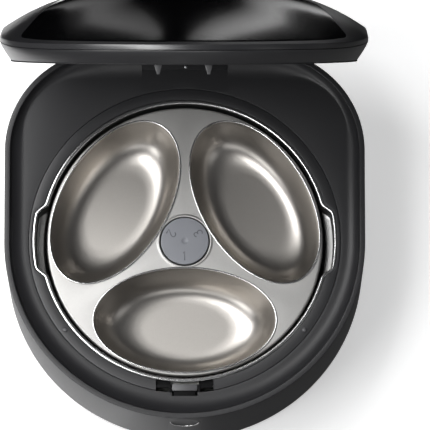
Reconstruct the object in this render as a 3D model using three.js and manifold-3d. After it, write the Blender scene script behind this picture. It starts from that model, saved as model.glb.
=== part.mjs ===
// A wet food feeder: three steel bowls on a turning tray, in a cooled well under a hinged lid.
// Millimetres, +Z up, the front faces -Y. The origin is on the floor, under the tray's axis.
import * as THREE from 'three';
import { mergeVertices } from 'three/addons/utils/BufferGeometryUtils.js';
import Module from 'manifold-3d';

const wasm = await Module();
wasm.setup();

// Fits
const fit = 0.3;
const overrun = 1;

// Tray and its three bowls
const trayRadius = 116.7;
const traySheet = 1.5;
const traySkirt = 4;
const bowlEdgeWeb = 3.8;
const bowlCapWeb = 3.5;
const bowlMiddleWeb = 9.51;
const bowlDepth = 34;
const bowlSheet = 1;
const bowlLip = 1.6;
const bowlLipHeight = 0.9;
const bowlCount = 3;
const bowlScaleShares = [0.98, 0.93, 0.8, 0.5];
const bowlDepthShares = [0.02, 0.45, 0.86, 1];

// Centre cap, turntable hub and their hexagonal drive
const capRadius = 20.2;
const capHeight = 1.6;
const capDimpleRadius = 3;
const capDimpleDepth = 0.8;
const socketRadius = 13.5;
const socketFlange = 3.2;
const socketFlangeHeight = 2;
const driveRadius = 9;
const driveTopGap = 3;
const hubSkirtRadius = 21.5;
const hubSkirtHeight = 2.5;
const hubShaftRadius = 7;
const bushWall = 3.4;
const bushFlange = 3.3;
const bushFlangeHeight = 2;

// Cooling well
const trayRunning = 2.6;
const wellWall = 2;
const wellRim = 3.1;
const wellRimHeight = 1.5;
const wellRimProud = 0.3;
const wellFloor = 2;
const wellCornerRadius = 8;
const wellHoleRadius = 16;
const wellCollarWall = 2;
const wellCollarHeight = 3;
const bowlClearance = 3;
const fingerOut = 7.1;
const fingerRim = 2.4;
const fingerDepth = 18;
const fingerLedge = 1;
const fingerFlat = THREE.MathUtils.degToRad(9.5);
const fingerEnd = THREE.MathUtils.degToRad(15.5);

// Ring round the well, and the deck that it lies in
const ringWidth = 9.2;
const ringThickness = 2.5;
const ringLedge = 2.5;
const ringLedgeThickness = 2.2;
const studRadius = 1.5;
const studHeight = 1;
const studCrownShare = 0.9;
const studAngle = THREE.MathUtils.degToRad(37.6);
const plateDrop = 4;
const deckThickness = 2.5;
const deckSide = 4.8;
const deckFront = 3.6;
const deckRear = 9.3;
const deckCornerRadius = 47;

// Hollow inner wall and rim of the top cover
const slopeSide = 11;
const slopeFront = 15.7;
const slopeRear = 19;
const deckDepth = 10;
const rimLand = 4.5;
const rimBreak = 0.5;
const rimThickness = 1.1;
const hollowTurn = THREE.MathUtils.degToRad(39);
const hollowTurnShares = [0.8, 1.5];

// Outer housing
const housingWall = 2.6;
const housingCornerRadius = 89;
const housingFoot = 10;
const housingDraft = 1;
const footHeight = 2.7;
const footRadius = 9;
const footSideSetIn = 49;
const footFrontSetIn = 63.8;
const footRearSetIn = 37.5;

// Base plate, chassis and insulation
const baseThickness = 3;
const bayHeight = 28;
const chassisThickness = 3;
const chassisSetIn = 4.7;
const legSetIn = 9.38;
const legTurn = THREE.MathUtils.degToRad(33.07);
const legRadius = 6.5;
const screwHeadRadius = 3.3;
const screwHeadHeight = 1.7;
const screwRadius = 1.6;
const screwLength = 10;
const insulationFloor = 8.4;
const insulationWall = 6;

// Cooling stack at the rear of the bay
const stackY = 64;
const coldPlateSize = 48;
const moduleSize = 40;
const moduleThickness = 3.7;
const sinkX = 72;
const sinkY = 60;
const sinkBase = 4.2;
const finHeight = 10.5;
const finThickness = 1.6;
const finCount = 9;
const fanHeight = 11;
const fanBore = 28.5;
const fanWall = 3;
const fanTip = 1.3;
const fanHubRadius = 11;
const fanStrut = 3;
const fanPlate = 1.5;
const bladeCount = 7;
const bladeThickness = 1.4;
const bladeDepthShare = 0.9;
const bladePitch = THREE.MathUtils.degToRad(38);

// Drive gears and motor
const gearModule = 20 / 9;
const hubTeeth = 27;
const pinionTeeth = 9;
const gearWidth = 5.4;
const gearBelowChassis = 4.3;
const toothAddendumShare = 0.8;
const toothDedendumShare = 1.15;
const toothRootShare = 0.3;
const toothTipShare = 0.13;
const motorRadius = 19;
const motorShaftRadius = 3;
const motorBossRadius = 6;
const motorBossHeight = 2;

// Control board and power inlet
const boardX = 88;
const boardY = 42;
const boardThickness = 1.6;
const boardSetIn = 20;
const boardHeight = 8;
const boardPostRadius = 3;
const boardPostInset = 7;
const chipSize = 14;
const chipHeight = 2.4;
const inletX = 50;
const inletHeight = 20;
const inletSize = 13;
const inletBoreRadius = 3.4;
const inletBoreDepth = 9;
const inletNoseRadius = 5.2;
const inletLength = 16;

// Vents at the rear and in the base
const ventCount = 9;
const ventPitch = 8;
const ventWidth = 3;
const ventLow = 16;
const ventTall = 26;
const intakeCount = 6;
const intakePitch = 8.5;
const intakeWidth = 3.2;
const intakeLength = 48;

// Push button, latch slider, guide and spring
const buttonRadius = 12.7;
const buttonBelowRim = 18.5;
const buttonThickness = 3.4;
const buttonFlange = 2;
const buttonDishRadius = 40;
const buttonDishDepth = 1.3;
const latchSlotOuter = 24.3;
const latchTabHalf = 10.6;
const latchSlotInner = 13.4;
const latchNotchSetIn = 0.2;
const latchTabDepth = 7.5;
const latchStepOut = 2.5;
const latchStepDrop = 1.8;
const latchLipThickness = 1.7;
const latchLipDepth = 3;
const latchRibLength = 3.8;
const latchTravel = 1.6;
const sliderHalf = 10;
const sliderThickness = 3.6;
const guideWall = 3.5;
const guideDepth = 3.5;
const springRadius = 3.6;
const springWire = 0.8;
const springTurns = 3;
const springBelow = 8;

// Lid
const lidNest = 5.5;
const lidInsetFront = 10.5;
const lidInsetRear = 9.5;
const lidRoundPower = 1.25;
const seamFront = 12;
const seamRear = 24;
const seamGap = 0.4;
const shoulderFront = 16.5;
const shoulderRear = 26.6;
const sweepSetIn = 22.2;
const lidRise = 61;
const lidPeakY = 45;
const lidWall = 2.4;
const lidFloorWidth = 14;
const lidFloor = 2.6;
const crownFront = 1.35;
const crownSide = 2.95;
const crownRear = 4;
const crownShares = [1, 0.97, 0.88, 0.7, 0.4];
const hollowShares = [0.86, 0.55];
const seamShares = [0.45, 1];
const gasketOut = 1.2;
const gasketIn = 1.8;
const gasketHeight = 1.6;
const linerDish = 1.2;
const linerDishInset = 16;
const hookX = 20.5;
const hookWidth = 6.4;
const hookTipWidth = 2;
const hookLength = 8;
const hookStem = 2.5;
const hookNose = 1.5;
const hookNoseHeight = 1.2;
const hookSetIn = 1.6;

// Glossy panel let into the lid's top
const panelInset = 7;
const panelTipSetIn = 10.5;
const panelTipRound = 9;
const panelRearNarrow = 37;
const panelRearSetIn = 77;
const panelRearRound = 20;
const panelThickness = 1.4;

// Lid hinge
const openAngle = THREE.MathUtils.degToRad(74);
const hingeSetIn = 4;
const hingeBelowRim = 3;
const knuckleRadius = 3.8;
const pinRadius = 1.7;
const pocketHalf = 36.3;
const pocketWall = 2.2;
const lidKnuckleInner = 12;
const lidKnuckleOuter = 24;
const bracketThickness = 2;
const bracketPlateDepth = 16;

// Heights, from the floor up
const baseBottom = footHeight + fit;
const baseTop = baseBottom + baseThickness;
const chassisBottom = baseTop + bayHeight;
const chassisTop = chassisBottom + chassisThickness;
const foamBottom = chassisTop + fit;
const foamFloorTop = foamBottom + insulationFloor;
const wellBottom = foamFloorTop + fit;
const wellFloorTop = wellBottom + wellFloor;
const bowlBottom = wellFloorTop + bowlClearance;
const plateTop = bowlBottom + bowlSheet + bowlDepth;
const plateBottom = plateTop - traySheet;
const deckTop = plateTop + plateDrop;
const rimTop = deckTop + deckDepth;
const housingTop = rimTop - rimThickness - fit;

// Plan sizes, from the tray's axis outwards
const wellRadius = trayRadius + trayRunning;
const ringInner = wellRadius + wellRim + fit;
const ringOuter = ringInner + ringWidth;
const deckHole = ringOuter + fit;
const footHalf = deckHole + deckSide;
const footFront = deckHole + deckFront;
const footRear = deckHole + deckRear;
const bodyHalf = footHalf + slopeSide + rimLand;
const bodyFront = footFront + slopeFront + rimLand;
const bodyRear = footRear + slopeRear + rimLand;
const bodyPlan = { half: bodyHalf, front: bodyHalf - bodyFront, rear: bodyRear, corner: housingCornerRadius };
const footPlan = { half: footHalf, front: footHalf - footFront, rear: footRear, corner: deckCornerRadius };

// Bowls: each as wide as fits between the cap and the tray's edge, and as long as the webs leave
const bowlInner = capRadius + bowlCapWeb;
const bowlShort = (trayRadius - bowlEdgeWeb - bowlInner) / 2;
const bowlOut = bowlInner + bowlShort;
const bowlSector = Math.PI / bowlCount;
const bowlReach = bowlOut * Math.sin(bowlSector) - bowlMiddleWeb / 2;
const bowlAcross = bowlShort * Math.sin(bowlSector);
const bowlLong = Math.sqrt(bowlReach ** 2 - bowlAcross ** 2) / Math.cos(bowlSector);

// Places that follow the tray's well and the body
const chassisRadius = trayRadius - chassisSetIn;
const legX = (chassisRadius - legSetIn) * Math.cos(legTurn);
const legY = (chassisRadius - legSetIn) * Math.sin(legTurn);
const footX = footHalf - footSideSetIn;
const footFrontY = footFrontSetIn - footFront;
const footRearY = footRear - footRearSetIn;
const boardCentreY = boardSetIn - chassisRadius;
const latchNotchFront = ringOuter - latchNotchSetIn;
const latchTabRear = ringOuter - latchTabDepth;
const latchStep = ringOuter + latchStepOut;
const hookFront = ringOuter - hookSetIn;
const sweepEnd = deckHole - sweepSetIn;
const panelHalf = bodyHalf - panelInset - panelTipSetIn;
const panelRearHalf = panelHalf - panelRearNarrow;
const panelRearY = bodyRear - panelRearSetIn;

// Hinge axis, and the lid's underside when it is closed
const hingeY = bodyRear - hingeSetIn;
const hingeZ = rimTop - hingeBelowRim;
const lidBottom = rimTop - lidNest;

const sides = 36;
const cornerSteps = [4, 5, 12, 13];
const bowlSides = 22;
const capSides = 28;
const roundSides = 20;
const smallSides = 10;
const boreSides = 8;
const wireSides = 4;
const wireSteps = 6;
const footSteps = 3;
const shapeSteps = 8;
const weldShare = 1e-4;

// Finishes
function finish(color, roughness, metalness) {
  return new THREE.MeshStandardMaterial({ color, roughness, metalness });
}

const shellPlastic = finish(0x3a3a3c, 0.5, 0);
const coverPlastic = finish(0x2e2e30, 0.55, 0);
const glossPanel = finish(0x08080a, 0.06, 0);
const darkPlastic = finish(0x1c1c1e, 0.6, 0);
const satinSteel = finish(0xa9a9ab, 0.35, 1);
const brightSteel = finish(0xc6c6c8, 0.22, 1);
const capPlastic = finish(0x86888e, 0.55, 0);
const blackRubber = finish(0x121212, 0.9, 0);
const foam = finish(0xd8d8d4, 0.95, 0);
const aluminium = finish(0xb4b6b8, 0.4, 1);
const boardGreen = finish(0x1f5a38, 0.5, 0);
const ceramic = finish(0xe6e4dc, 0.6, 0);
const nylon = finish(0xe2ded2, 0.5, 0);

// A closed three.js geometry as a solid that can be cut and joined
function solid(geometry) {
  const bare = new THREE.BufferGeometry();
  bare.setAttribute('position', geometry.getAttribute('position'));
  if (geometry.index) bare.setIndex(geometry.index);
  const merged = mergeVertices(bare, weldShare);
  return new wasm.Manifold(new wasm.Mesh({
    numProp: 3,
    vertProperties: new Float32Array(merged.attributes.position.array),
    triVerts: new Uint32Array(merged.index.array),
  }));
}

function join(...pieces) {
  return pieces.reduce((whole, piece) => whole.add(piece));
}

function cut(whole, ...tools) {
  return tools.reduce((left, tool) => left.subtract(tool), whole);
}

function toGeometry(made) {
  const { vertProperties, triVerts } = made.getMesh();
  const geometry = new THREE.BufferGeometry();
  geometry.setAttribute('position', new THREE.BufferAttribute(vertProperties, 3));
  geometry.setIndex(new THREE.BufferAttribute(triVerts, 1));
  geometry.computeVertexNormals();
  return geometry;
}

function place(parent, name, made, material) {
  const mesh = new THREE.Mesh(toGeometry(made), material);
  mesh.name = name;
  parent.add(mesh);
  return mesh;
}

// Simple solids
function block(x0, x1, y0, y1, z0, z1) {
  const geometry = new THREE.BoxGeometry(x1 - x0, y1 - y0, z1 - z0);
  geometry.translate((x0 + x1) / 2, (y0 + y1) / 2, (z0 + z1) / 2);
  return solid(geometry);
}

function disc(radius, z0, z1, x = 0, y = 0, count = roundSides) {
  const geometry = new THREE.CylinderGeometry(radius, radius, z1 - z0, count);
  geometry.rotateX(Math.PI / 2);
  geometry.translate(x, y, (z0 + z1) / 2);
  return solid(geometry);
}

function rodAlongX(radius, x0, x1, y, z, count = smallSides) {
  const geometry = new THREE.CylinderGeometry(radius, radius, x1 - x0, count);
  geometry.rotateZ(Math.PI / 2);
  geometry.translate((x0 + x1) / 2, y, z);
  return solid(geometry);
}

function rodAlongY(radius, y0, y1, x, z, count = roundSides) {
  const geometry = new THREE.CylinderGeometry(radius, radius, y1 - y0, count);
  geometry.translate(x, (y0 + y1) / 2, z);
  return solid(geometry);
}

// A flat outline in plan, raised between two heights
function prism(shape, z0, z1, steps = shapeSteps) {
  const options = { depth: z1 - z0, bevelEnabled: false, curveSegments: steps };
  const geometry = new THREE.ExtrudeGeometry(shape, options);
  geometry.translate(0, 0, z0);
  return solid(geometry);
}

// A plan outline: round at the front, straight at the sides and rear, with two round rear corners
function inset(plan, amount) {
  const { half, front, rear, corner } = plan;
  return { half: half - amount, front, rear: rear - amount, corner: corner - amount };
}

// How far the outline lies from the axis in one direction
function reach(plan, angle) {
  const { half, front, rear, corner } = plan;
  const c = Math.cos(angle);
  const s = Math.sin(angle);
  const onFront = front * s + Math.sqrt(half * half - front * front * c * c);
  if (onFront * s <= front) return onFront;
  const onSide = half / Math.abs(c);
  if (onSide * s <= rear - corner) return onSide;
  const onRear = rear / s;
  if (Math.abs(onRear * c) <= half - corner) return onRear;
  const along = (half - corner) * Math.abs(c) + (rear - corner) * s;
  const apart = (half - corner) ** 2 + (rear - corner) ** 2;
  return along + Math.sqrt(along * along - apart + corner * corner);
}

// Directions of an outline's points: even for what is round, with more at the rear corners for the body
const even = Array.from({ length: sides }, (_, i) => (i / sides) * 2 * Math.PI);
const halfStep = Math.PI / sides;
const cornered = even.flatMap((turn, i) => (cornerSteps.includes(i) ? [turn, turn + halfStep] : [turn]));

// One ring of points; the distance and the height may each depend on the direction or the place
function ring(distance, height, directions = cornered) {
  return directions.map((angle) => {
    const r = typeof distance === 'function' ? distance(angle) : distance;
    const x = r * Math.cos(angle);
    const y = r * Math.sin(angle);
    const z = typeof height === 'function' ? height(x, y) : height;
    return new THREE.Vector3(x, y, z);
  });
}

const round = (distance, height) => ring(distance, height, even);

// Skins a stack of rings. A capped stack is a solid disc; a joined one closes on itself as a tube.
function loft(rings, capped) {
  const count = rings[0].length;
  const positions = rings.flat().flatMap((p) => [p.x, p.y, p.z]);
  const faces = [];
  const spans = capped ? rings.length - 1 : rings.length;
  for (let i = 0; i < spans; i += 1) {
    const low = i * count;
    const high = ((i + 1) % rings.length) * count;
    for (let j = 0; j < count; j += 1) {
      const k = (j + 1) % count;
      faces.push(low + j, low + k, high + k);
      faces.push(low + j, high + k, high + j);
    }
  }
  if (capped) {
    const ends = [[rings[0], 0, true], [rings[rings.length - 1], (rings.length - 1) * count, false]];
    for (const [end, first, down] of ends) {
      const middle = end.reduce((sum, p) => sum.add(p), new THREE.Vector3()).divideScalar(count);
      const centre = positions.length / 3;
      positions.push(middle.x, middle.y, middle.z);
      for (let j = 0; j < count; j += 1) {
        const k = (j + 1) % count;
        if (down) faces.push(centre, first + k, first + j);
        else faces.push(centre, first + j, first + k);
      }
    }
  }
  const geometry = new THREE.BufferGeometry();
  geometry.setAttribute('position', new THREE.Float32BufferAttribute(positions, 3));
  geometry.setIndex(faces);
  return solid(geometry);
}

const onBody = (amount) => (angle) => reach(inset(bodyPlan, amount), angle);
const onFoot = (amount) => (angle) => reach(inset(footPlan, amount), angle);
const smooth = (t) => THREE.MathUtils.smoothstep(t, 0, 1);

// Full at the two sides, where fingers reach for the tray, and nothing elsewhere
function fingerShare(angle) {
  const off = Math.abs(Math.asin(Math.sin(angle)));
  return 1 - THREE.MathUtils.smoothstep(off, fingerFlat, fingerEnd);
}

const wellEdge = (radius, out) => (angle) => radius + out * fingerShare(angle);

// Outer housing: a wall that stands on a rounded foot, with its draft
function outerHousing() {
  const foot = [];
  for (let i = 0; i <= footSteps; i += 1) {
    const turn = (i / footSteps) * (Math.PI / 2);
    const z = baseBottom + housingFoot * (1 - Math.cos(turn));
    foot.push(ring(onBody(housingDraft + housingFoot * (1 - Math.sin(turn))), z));
  }
  const inside = housingWall + housingDraft;
  const wall = loft([
    ring(onBody(inside + housingFoot), baseBottom),
    ...foot,
    ring(onBody(0), housingTop),
    ring(onBody(housingWall), housingTop),
    ring(onBody(inside), baseBottom + housingFoot),
    ring(onBody(inside + housingFoot), baseTop + housingFoot / 4),
  ], false);
  const notch = block(
    -pocketHalf - pocketWall - fit, pocketHalf + pocketWall + fit,
    footRear, bodyRear + overrun, deckTop - deckThickness - fit, rimTop,
  );
  const buttonHole = rodAlongY(
    buttonRadius + fit, -bodyFront - overrun, -bodyFront + housingWall + housingDraft + overrun,
    0, rimTop - buttonBelowRim,
  );
  const inletHole = rodAlongY(
    inletNoseRadius + fit, bodyRear - housingWall - housingDraft - overrun, bodyRear + overrun,
    inletX, inletHeight,
  );
  const vents = [];
  for (let i = 0; i < ventCount; i += 1) {
    const x = (i - (ventCount - 1) / 2) * ventPitch;
    vents.push(block(
      x - ventWidth / 2, x + ventWidth / 2,
      bodyRear - 2 * housingWall - housingDraft, bodyRear + overrun, ventLow, ventLow + ventTall,
    ));
  }
  return cut(wall, notch, buttonHole, inletHole, ...vents);
}

// Top cover: rim land, hollow inner wall, deck, and a ledge under the ring; hinge pocket at the rear
function topCover() {
  const rimInner = ring(onBody(rimLand), rimTop);
  const deckFoot = ring(onFoot(0), deckTop);
  const underInner = ring(onBody(housingWall + fit), rimTop - rimThickness);
  const underFoot = ring(onFoot(-deckThickness), deckTop - deckThickness);
  const hollow = (from, to, turn) => from.map((p, i) => {
    const flat = 1 - Math.cos(turn);
    const x = THREE.MathUtils.lerp(p.x, to[i].x, flat);
    const y = THREE.MathUtils.lerp(p.y, to[i].y, flat);
    return new THREE.Vector3(x, y, THREE.MathUtils.lerp(p.z, to[i].z, Math.sin(turn)));
  });
  const ledge = deckHole - ringLedge;
  const ledgeTop = deckTop - ringThickness - fit;
  const ledgeBottom = ledgeTop - ringLedgeThickness;
  const shell = loft([
    ring(ledge, ledgeBottom),
    ring(deckHole + deckThickness, ledgeBottom),
    underFoot,
    hollow(underInner, underFoot, hollowTurn),
    underInner,
    ring(onBody(0), rimTop - rimThickness),
    ring(onBody(0), rimTop - rimBreak),
    ring(onBody(rimBreak), rimTop),
    rimInner,
    hollow(rimInner, deckFoot, hollowTurn * hollowTurnShares[0]),
    hollow(rimInner, deckFoot, hollowTurn * hollowTurnShares[1]),
    deckFoot,
    ring(deckHole, deckTop),
    ring(deckHole, ledgeTop),
    ring(ledge, ledgeTop),
  ], false);
  const pocketFloor = deckTop - deckThickness;
  const cheeks = block(
    -pocketHalf - pocketWall, pocketHalf + pocketWall,
    footRear - deckThickness, bodyRear - housingDraft, pocketFloor, rimTop,
  );
  const within = loft([
    deckFoot,
    hollow(rimInner, deckFoot, hollowTurn * hollowTurnShares[1]),
    hollow(rimInner, deckFoot, hollowTurn * hollowTurnShares[0]),
    rimInner,
    ring(onBody(rimLand), rimTop + overrun),
  ], true);
  const pocketHollow = block(
    -pocketHalf, pocketHalf, footRear - deckRear, bodyRear + overrun, deckTop, rimTop + overrun,
  );
  const latchNotch = block(
    -latchSlotOuter, latchSlotOuter, -latchNotchFront - fit, -ledge + 2 * ringLedge, ledgeBottom - overrun,
    deckTop + overrun,
  );
  const stepNotch = block(
    -latchTabHalf - fit, latchTabHalf + fit, -latchStep - fit, -latchNotchFront, ledgeBottom - overrun,
    deckTop + overrun,
  );
  const ribs = [-1, 1].map((side) => block(
    Math.min(side * (latchTabHalf + fit), side * latchSlotInner),
    Math.max(side * (latchTabHalf + fit), side * latchSlotInner),
    -latchNotchFront - 2 * fit, -latchNotchFront + latchRibLength, deckTop - ringThickness, deckTop,
  ));
  return join(cut(shell.add(cheeks.subtract(within)), pocketHollow, latchNotch, stepNotch), ...ribs);
}

// Base plate with its intake, board posts and a pedestal for the power inlet
function basePlate() {
  const edge = housingWall + housingDraft + housingFoot + fit;
  const plate = loft([ring(onBody(edge), baseBottom), ring(onBody(edge), baseTop)], true);
  const posts = [];
  for (const sx of [-1, 1]) {
    for (const sy of [-1, 1]) {
      posts.push(disc(
        boardPostRadius, baseBottom + baseThickness / 2, baseTop + boardHeight - fit,
        sx * (boardX / 2 - boardPostInset), boardCentreY + sy * (boardY / 2 - boardPostInset), boreSides,
      ));
    }
  }
  const pedestal = block(
    inletX - inletSize / 2, inletX + inletSize / 2, inletFront(), bodyRear - edge - fit,
    baseBottom + baseThickness / 2, inletHeight - inletSize / 2 - fit,
  );
  const intakes = [];
  for (let i = 0; i < intakeCount; i += 1) {
    const x = (i - (intakeCount - 1) / 2) * intakePitch;
    intakes.push(block(
      x - intakeWidth / 2, x + intakeWidth / 2,
      stackY - intakeLength / 2, stackY + intakeLength / 2, baseBottom - overrun, baseTop + overrun,
    ));
  }
  const counterbores = [];
  const bottom = baseBottom - overrun;
  for (const [x, y] of legPlaces()) {
    counterbores.push(disc(screwHeadRadius + fit, bottom, baseBottom + screwHeadHeight, x, y, smallSides));
    counterbores.push(disc(screwRadius + fit, bottom, baseTop + overrun, x, y, boreSides));
  }
  return cut(join(plate, pedestal, ...posts), ...intakes, ...counterbores);
}

function inletFront() {
  return bodyRear - housingWall - housingDraft - inletLength;
}

function legPlaces() {
  return [[-legX, -legY], [legX, -legY], [-legX, legY], [legX, legY]];
}

function footPlaces() {
  return [[-footX, footFrontY], [footX, footFrontY], [-footX, footRearY], [footX, footRearY]];
}

// A rubber foot with a rounded edge
function rubberFoot(x, y) {
  const edge = footHeight / 3;
  const profile = [
    new THREE.Vector2(0, 0),
    new THREE.Vector2(footRadius - edge, 0),
    new THREE.Vector2(footRadius, edge),
    new THREE.Vector2(footRadius, footHeight),
    new THREE.Vector2(0, footHeight),
  ];
  const geometry = new THREE.LatheGeometry(profile, smallSides);
  geometry.rotateX(Math.PI / 2);
  geometry.translate(x, y, 0);
  return solid(geometry);
}

function baseScrew(x, y) {
  const head = disc(screwHeadRadius, baseBottom, baseBottom + screwHeadHeight - fit, x, y, smallSides);
  const neck = baseBottom + screwHeadHeight / 2;
  const shank = disc(screwRadius, neck, baseBottom + screwLength, x, y, boreSides);
  return head.add(shank);
}

// Chassis plate on four legs, which stand on the base plate
function chassis() {
  const plate = disc(chassisRadius, chassisBottom, chassisTop, 0, 0, capSides);
  const legs = [];
  const bores = [];
  for (const [x, y] of legPlaces()) {
    legs.push(disc(legRadius, baseTop + fit, chassisBottom + chassisThickness / 2, x, y, boreSides));
    bores.push(disc(screwRadius + fit, baseBottom, baseBottom + screwLength + 2 * fit, x, y, boreSides));
  }
  const below = chassisBottom - overrun;
  const above = chassisTop + overrun;
  const hubHole = disc(hubShaftRadius + fit + bushWall + fit, below, above);
  const hole = coldPlateSize / 2 + fit;
  const stackHole = block(-hole, hole, stackY - hole, stackY + hole, below, above);
  return cut(join(plate, ...legs), hubHole, stackHole, ...bores);
}

// Foam cup round the well, cut back where the finger recesses reach out
function insulationShell() {
  const inner = wellRadius + wellWall + fit;
  const top = deckTop - ringThickness - fit - ringLedgeThickness - fit;
  const recess = deckTop - fingerDepth - fingerLedge - wellWall - 2 * fit;
  const cup = loft([
    round(wellHoleRadius, foamBottom),
    round(inner + insulationWall, foamBottom),
    round(inner + insulationWall, top),
    round(inner, top),
    round(inner, wellBottom + wellCornerRadius),
    round(inner - wellCornerRadius, foamFloorTop),
    round(wellHoleRadius, foamFloorTop),
  ], false);
  const hole = coldPlateSize / 2 + fit;
  const stackHole = block(
    -hole, hole, stackY - hole, stackY + hole, foamBottom - overrun, foamFloorTop + overrun,
  );
  const half = wellRadius * Math.sin(fingerEnd + (2 * Math.PI) / sides) + overrun;
  const outer = inner + insulationWall + overrun;
  const from = wellRadius - wellCornerRadius;
  const fingers = [-1, 1].map((side) => block(
    Math.min(side * from, side * outer), Math.max(side * from, side * outer),
    -half, half, recess, top + overrun,
  ));
  const latchWay = block(
    -latchTabHalf - 2 * fit, latchTabHalf + 2 * fit,
    -outer, -inner + overrun, sliderBottom - 2 * fit, top + overrun,
  );
  return cut(cup, stackHole, latchWay, ...fingers);
}

// Cooling well: a metal cup with a bright rim, which swells out round the two finger recesses
function coolingWell() {
  const outside = wellRadius + wellWall;
  const rimOut = wellRadius + wellRim;
  const fingerRimOut = fingerOut + fingerRim - wellRim;
  const ledge = deckTop - fingerDepth;
  const rimBottom = deckTop + wellRimProud - wellRimHeight;
  const cup = loft([
    round(wellHoleRadius, wellBottom),
    round(outside - wellCornerRadius, wellBottom),
    round(outside, wellBottom + wellCornerRadius),
    round(outside, ledge - fingerLedge - wellWall),
    round(wellEdge(outside, fingerOut - wellWall + fingerRim - fit), ledge - wellWall),
    round(wellEdge(outside, fingerOut - wellWall + fingerRim - fit), rimBottom),
    round(wellEdge(rimOut, fingerRimOut), rimBottom + fit),
    round(wellEdge(rimOut, fingerRimOut), deckTop + wellRimProud),
    round(wellEdge(wellRadius, fingerOut), deckTop + wellRimProud),
    round(wellEdge(wellRadius, fingerOut), ledge),
    round(wellRadius, ledge - fingerLedge),
    round(wellRadius, wellFloorTop + wellCornerRadius),
    round(wellRadius - wellCornerRadius, wellFloorTop),
    round(wellHoleRadius + wellCollarWall, wellFloorTop),
    round(wellHoleRadius + wellCollarWall, wellFloorTop + wellCollarHeight),
    round(wellHoleRadius, wellFloorTop + wellCollarHeight),
  ], false);
  return cup;
}

// Ring round the well, notched at the front for the latch
function wellRing() {
  const inner = wellEdge(ringInner, fingerOut + fingerRim - wellRim);
  const bottom = deckTop - ringThickness;
  const whole = loft([
    round(inner, bottom),
    round(ringOuter, bottom),
    round(ringOuter, deckTop),
    round(inner, deckTop),
  ], false);
  const notch = block(
    -latchSlotOuter, latchSlotOuter, -ringOuter - overrun, -ringInner + ringWidth / 2, bottom - overrun,
    deckTop + overrun,
  );
  return cut(whole, notch);
}

function ringStud(side) {
  const r = (ringInner + ringOuter) / 2;
  const x = side * r * Math.cos(studAngle);
  const y = -r * Math.sin(studAngle);
  const profile = [
    new THREE.Vector2(0, 0),
    new THREE.Vector2(studRadius, 0),
    new THREE.Vector2(studRadius, studHeight / 2),
    new THREE.Vector2(studRadius / 2, studHeight * studCrownShare),
    new THREE.Vector2(0, studHeight),
  ];
  const geometry = new THREE.LatheGeometry(profile, boreSides);
  geometry.rotateX(Math.PI / 2);
  geometry.translate(x, y, deckTop + fit);
  return solid(geometry);
}

// An ellipse in plan, long side along X, about one bowl's centre at the front
function bowlRing(scale, z, grow = 0) {
  const points = [];
  for (let i = 0; i < bowlSides; i += 1) {
    const angle = (i / bowlSides) * 2 * Math.PI;
    const x = (bowlLong * scale + grow) * Math.cos(angle);
    const y = (bowlShort * scale + grow) * Math.sin(angle);
    points.push(new THREE.Vector3(x, y - bowlOut, z));
  }
  return points;
}

const bowlTurn = (i) => (i * 360) / bowlCount;

// One bowl: a pressed cup with a rolled lip that lies on the plate
function bowl(i) {
  const lipBottom = plateTop + fit;
  const lipTop = lipBottom + bowlLipHeight;
  const inside = bowlScaleShares.map((scale, k) => bowlRing(scale, plateTop - bowlDepth * bowlDepthShares[k]));
  const outside = bowlScaleShares.map((scale, k) => {
    const below = k === bowlScaleShares.length - 1 ? bowlSheet : bowlSheet / 2;
    return bowlRing(scale, plateTop - bowlDepth * bowlDepthShares[k] - below, bowlSheet);
  });
  const rings = [
    ...outside.reverse(),
    bowlRing(1, lipBottom, bowlSheet / 2),
    bowlRing(1, lipBottom, bowlLip),
    bowlRing(1, lipTop, bowlLip / 2),
    bowlRing(1, lipTop - bowlLipHeight / 3, 0),
    ...inside,
  ];
  return loft(rings, true).rotate([0, 0, bowlTurn(i)]);
}

// Tray plate with three openings, a hub hole and a turned-down edge
function trayPlate() {
  const edge = traySheet;
  const plate = loft([
    round(trayRadius - traySheet, plateTop - traySkirt),
    round(trayRadius, plateTop - traySkirt),
    round(trayRadius, plateTop - edge),
    round(trayRadius - edge, plateTop),
    round(socketRadius + fit, plateTop),
    round(socketRadius + fit, plateBottom),
    round(trayRadius - edge - traySheet, plateBottom),
  ], false);
  const openings = [];
  for (let i = 0; i < bowlCount; i += 1) {
    const hole = loft([
      bowlRing(1, plateBottom - overrun, bowlSheet / 2 + fit),
      bowlRing(1, plateTop + overrun, bowlSheet / 2 + fit),
    ], true);
    openings.push(hole.rotate([0, 0, bowlTurn(i)]));
  }
  return cut(plate, ...openings);
}

function hexagon(radius, z0, z1) {
  return disc(radius, z0, z1, 0, 0, 6);
}

const capBottom = plateTop + fit;
const skirtTop = () => wellFloorTop + wellCollarHeight + fit + hubSkirtHeight;
const driveTop = capBottom - driveTopGap;

// Centre cap: a dished disc on a hexagonal socket that slips over the hub and clips under the plate
function centreCap() {
  const top = capBottom + capHeight;
  const profile = [
    new THREE.Vector2(0, capBottom),
    new THREE.Vector2(capRadius, capBottom),
    new THREE.Vector2(capRadius, top - capHeight / 4),
    new THREE.Vector2(capRadius - capHeight / 4, top),
    new THREE.Vector2(0, top),
  ];
  const geometry = new THREE.LatheGeometry(profile, capSides);
  geometry.rotateX(Math.PI / 2);
  const socketBottom = skirtTop() + fit;
  const socket = disc(socketRadius, socketBottom, capBottom + capHeight / 2);
  const flange = disc(
    socketRadius + socketFlange, plateBottom - fit - socketFlangeHeight, plateBottom - fit,
  );
  const bore = hexagon(driveRadius + fit, socketBottom - overrun, driveTop + driveTopGap / 2);
  const dimple = disc(capDimpleRadius, top - capDimpleDepth, top + overrun, 0, 0, smallSides);
  return cut(join(solid(geometry), socket, flange), bore, dimple);
}

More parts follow.
